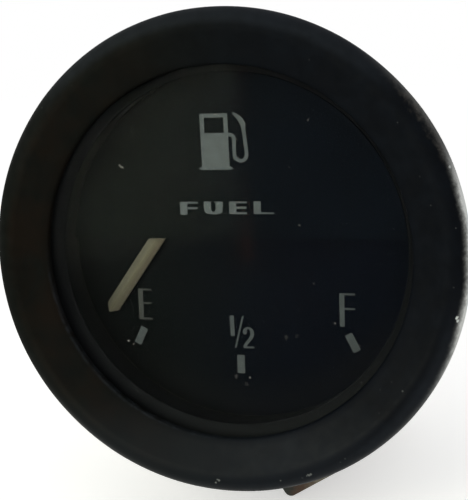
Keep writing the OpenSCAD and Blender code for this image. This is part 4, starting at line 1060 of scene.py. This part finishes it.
class GAUGE_OT_lamp(Operator):
    """Finish the bulb and its holder, and hang the filament in the bulb"""
    bl_idname = "gauge.lamp"
    bl_label = "Lamp"

    def execute(self, context):
        tones = context.scene.gauge_colours
        plastic = moulded("holder_plastic", tones.holder, scaled(tones.holder, 0.82), 0.42, 0.012)
        dress(plastic, "bulb_holder")
        clear = Finish("bulb_glass", (0.62, 0.64, 0.62), 0.05)
        smoke = clear.noise(0.25, 3).between(0.35, 0.7, 0.0, 0.05)
        clear.give("Alpha", clear.facing(0.10, 0.9) + smoke)
        dress(clear, "bulb")
        verts, faces = [], []
        self.wires(verts, faces)
        tungsten = metal("filament_wire", (0.22, 0.22, 0.23), (0.14, 0.13, 0.13), 0.45)
        place(add_mesh("bulb_filament", verts, faces), "bulb_body", tungsten, "steel")
        return {"FINISHED"}

    def wires(self, verts, faces):
        """Two lead wires from the bulb's foot, and the coiled filament hung between their hooks"""
        low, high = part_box("bulb")
        centre = middle_of("bulb")
        across = Vector((math.sin(CLAMP_DIRECTION), 0, -math.cos(CLAMP_DIRECTION)))
        over = Vector((math.cos(CLAMP_DIRECTION), 0, math.sin(CLAMP_DIRECTION)))
        forward = Vector((0, -1, 0))
        foot = Vector((centre.x, high.y - 0.004, centre.z))
        hook = Vector((centre.x, low.y + 0.0085, centre.z))
        rise = (hook - foot).length
        for sign in (-1, 1):
            lead = [foot + sign * across * out + forward * up for out, up in (
                (0.0010, 0.0), (0.0010, rise * 0.3), (0.0017, rise * 0.6), (0.0019, rise - 0.0002))]
            lead.append(hook + sign * across * 0.0017)
            tube([Vector(p) for p in smooth_line(lead)], 0.00017, 8, verts, faces)
        turns, steps = 14, 10
        coil = []
        for i in range(turns * steps + 1):
            t = i / (turns * steps)
            a = 2 * math.pi * i / steps
            sag = 0.0009 * (1 - (2 * t - 1) ** 2)
            middle = hook + across * 0.0034 * (t - 0.5) + forward * sag
            coil.append(middle + 0.00017 * (math.cos(a) * over + math.sin(a) * forward))
        tube(coil, 0.00004, 5, verts, faces)


STEPS = (
    GAUGE_OT_camera, GAUGE_OT_stage, GAUGE_OT_bezel, GAUGE_OT_glass, GAUGE_OT_dial, GAUGE_OT_pointer,
    GAUGE_OT_case, GAUGE_OT_movement, GAUGE_OT_clamp, GAUGE_OT_lamp,
)
SETTINGS = {"gauge_sizes": GaugeSizes, "gauge_colours": GaugeColours, "gauge_studio": GaugeStudio}


class GAUGE_PT_panel(Panel):
    """Lists the gauge's steps and settings"""
    bl_idname = "GAUGE_PT_panel"
    bl_label = "Fuel gauge"
    bl_space_type = "VIEW_3D"
    bl_region_type = "UI"
    bl_category = "Fuel gauge"

    def draw(self, context):
        column = self.layout.column(align=True)
        for step in STEPS:
            column.operator(step.bl_idname)
        for group in SETTINGS:
            box = self.layout.box()
            for name in SETTINGS[group].__annotations__:
                box.prop(getattr(context.scene, group), name)


CLASSES = (*SETTINGS.values(), *STEPS, GAUGE_PT_panel)


def register():
    for item in CLASSES:
        bpy.utils.register_class(item)
    for name, group in SETTINGS.items():
        setattr(bpy.types.Scene, name, PointerProperty(type=group))


def unregister():
    for name in SETTINGS:
        delattr(bpy.types.Scene, name)
    for item in reversed(CLASSES):
        bpy.utils.unregister_class(item)


def main():
    register()
    bpy.ops.gauge.camera()
    bpy.ops.gauge.stage()
    bpy.ops.gauge.bezel()
    bpy.ops.gauge.glass()
    bpy.ops.gauge.dial()
    bpy.ops.gauge.pointer()
    bpy.ops.gauge.case()
    bpy.ops.gauge.movement()
    bpy.ops.gauge.clamp()
    bpy.ops.gauge.lamp()


if __name__ == "__main__":
    main()
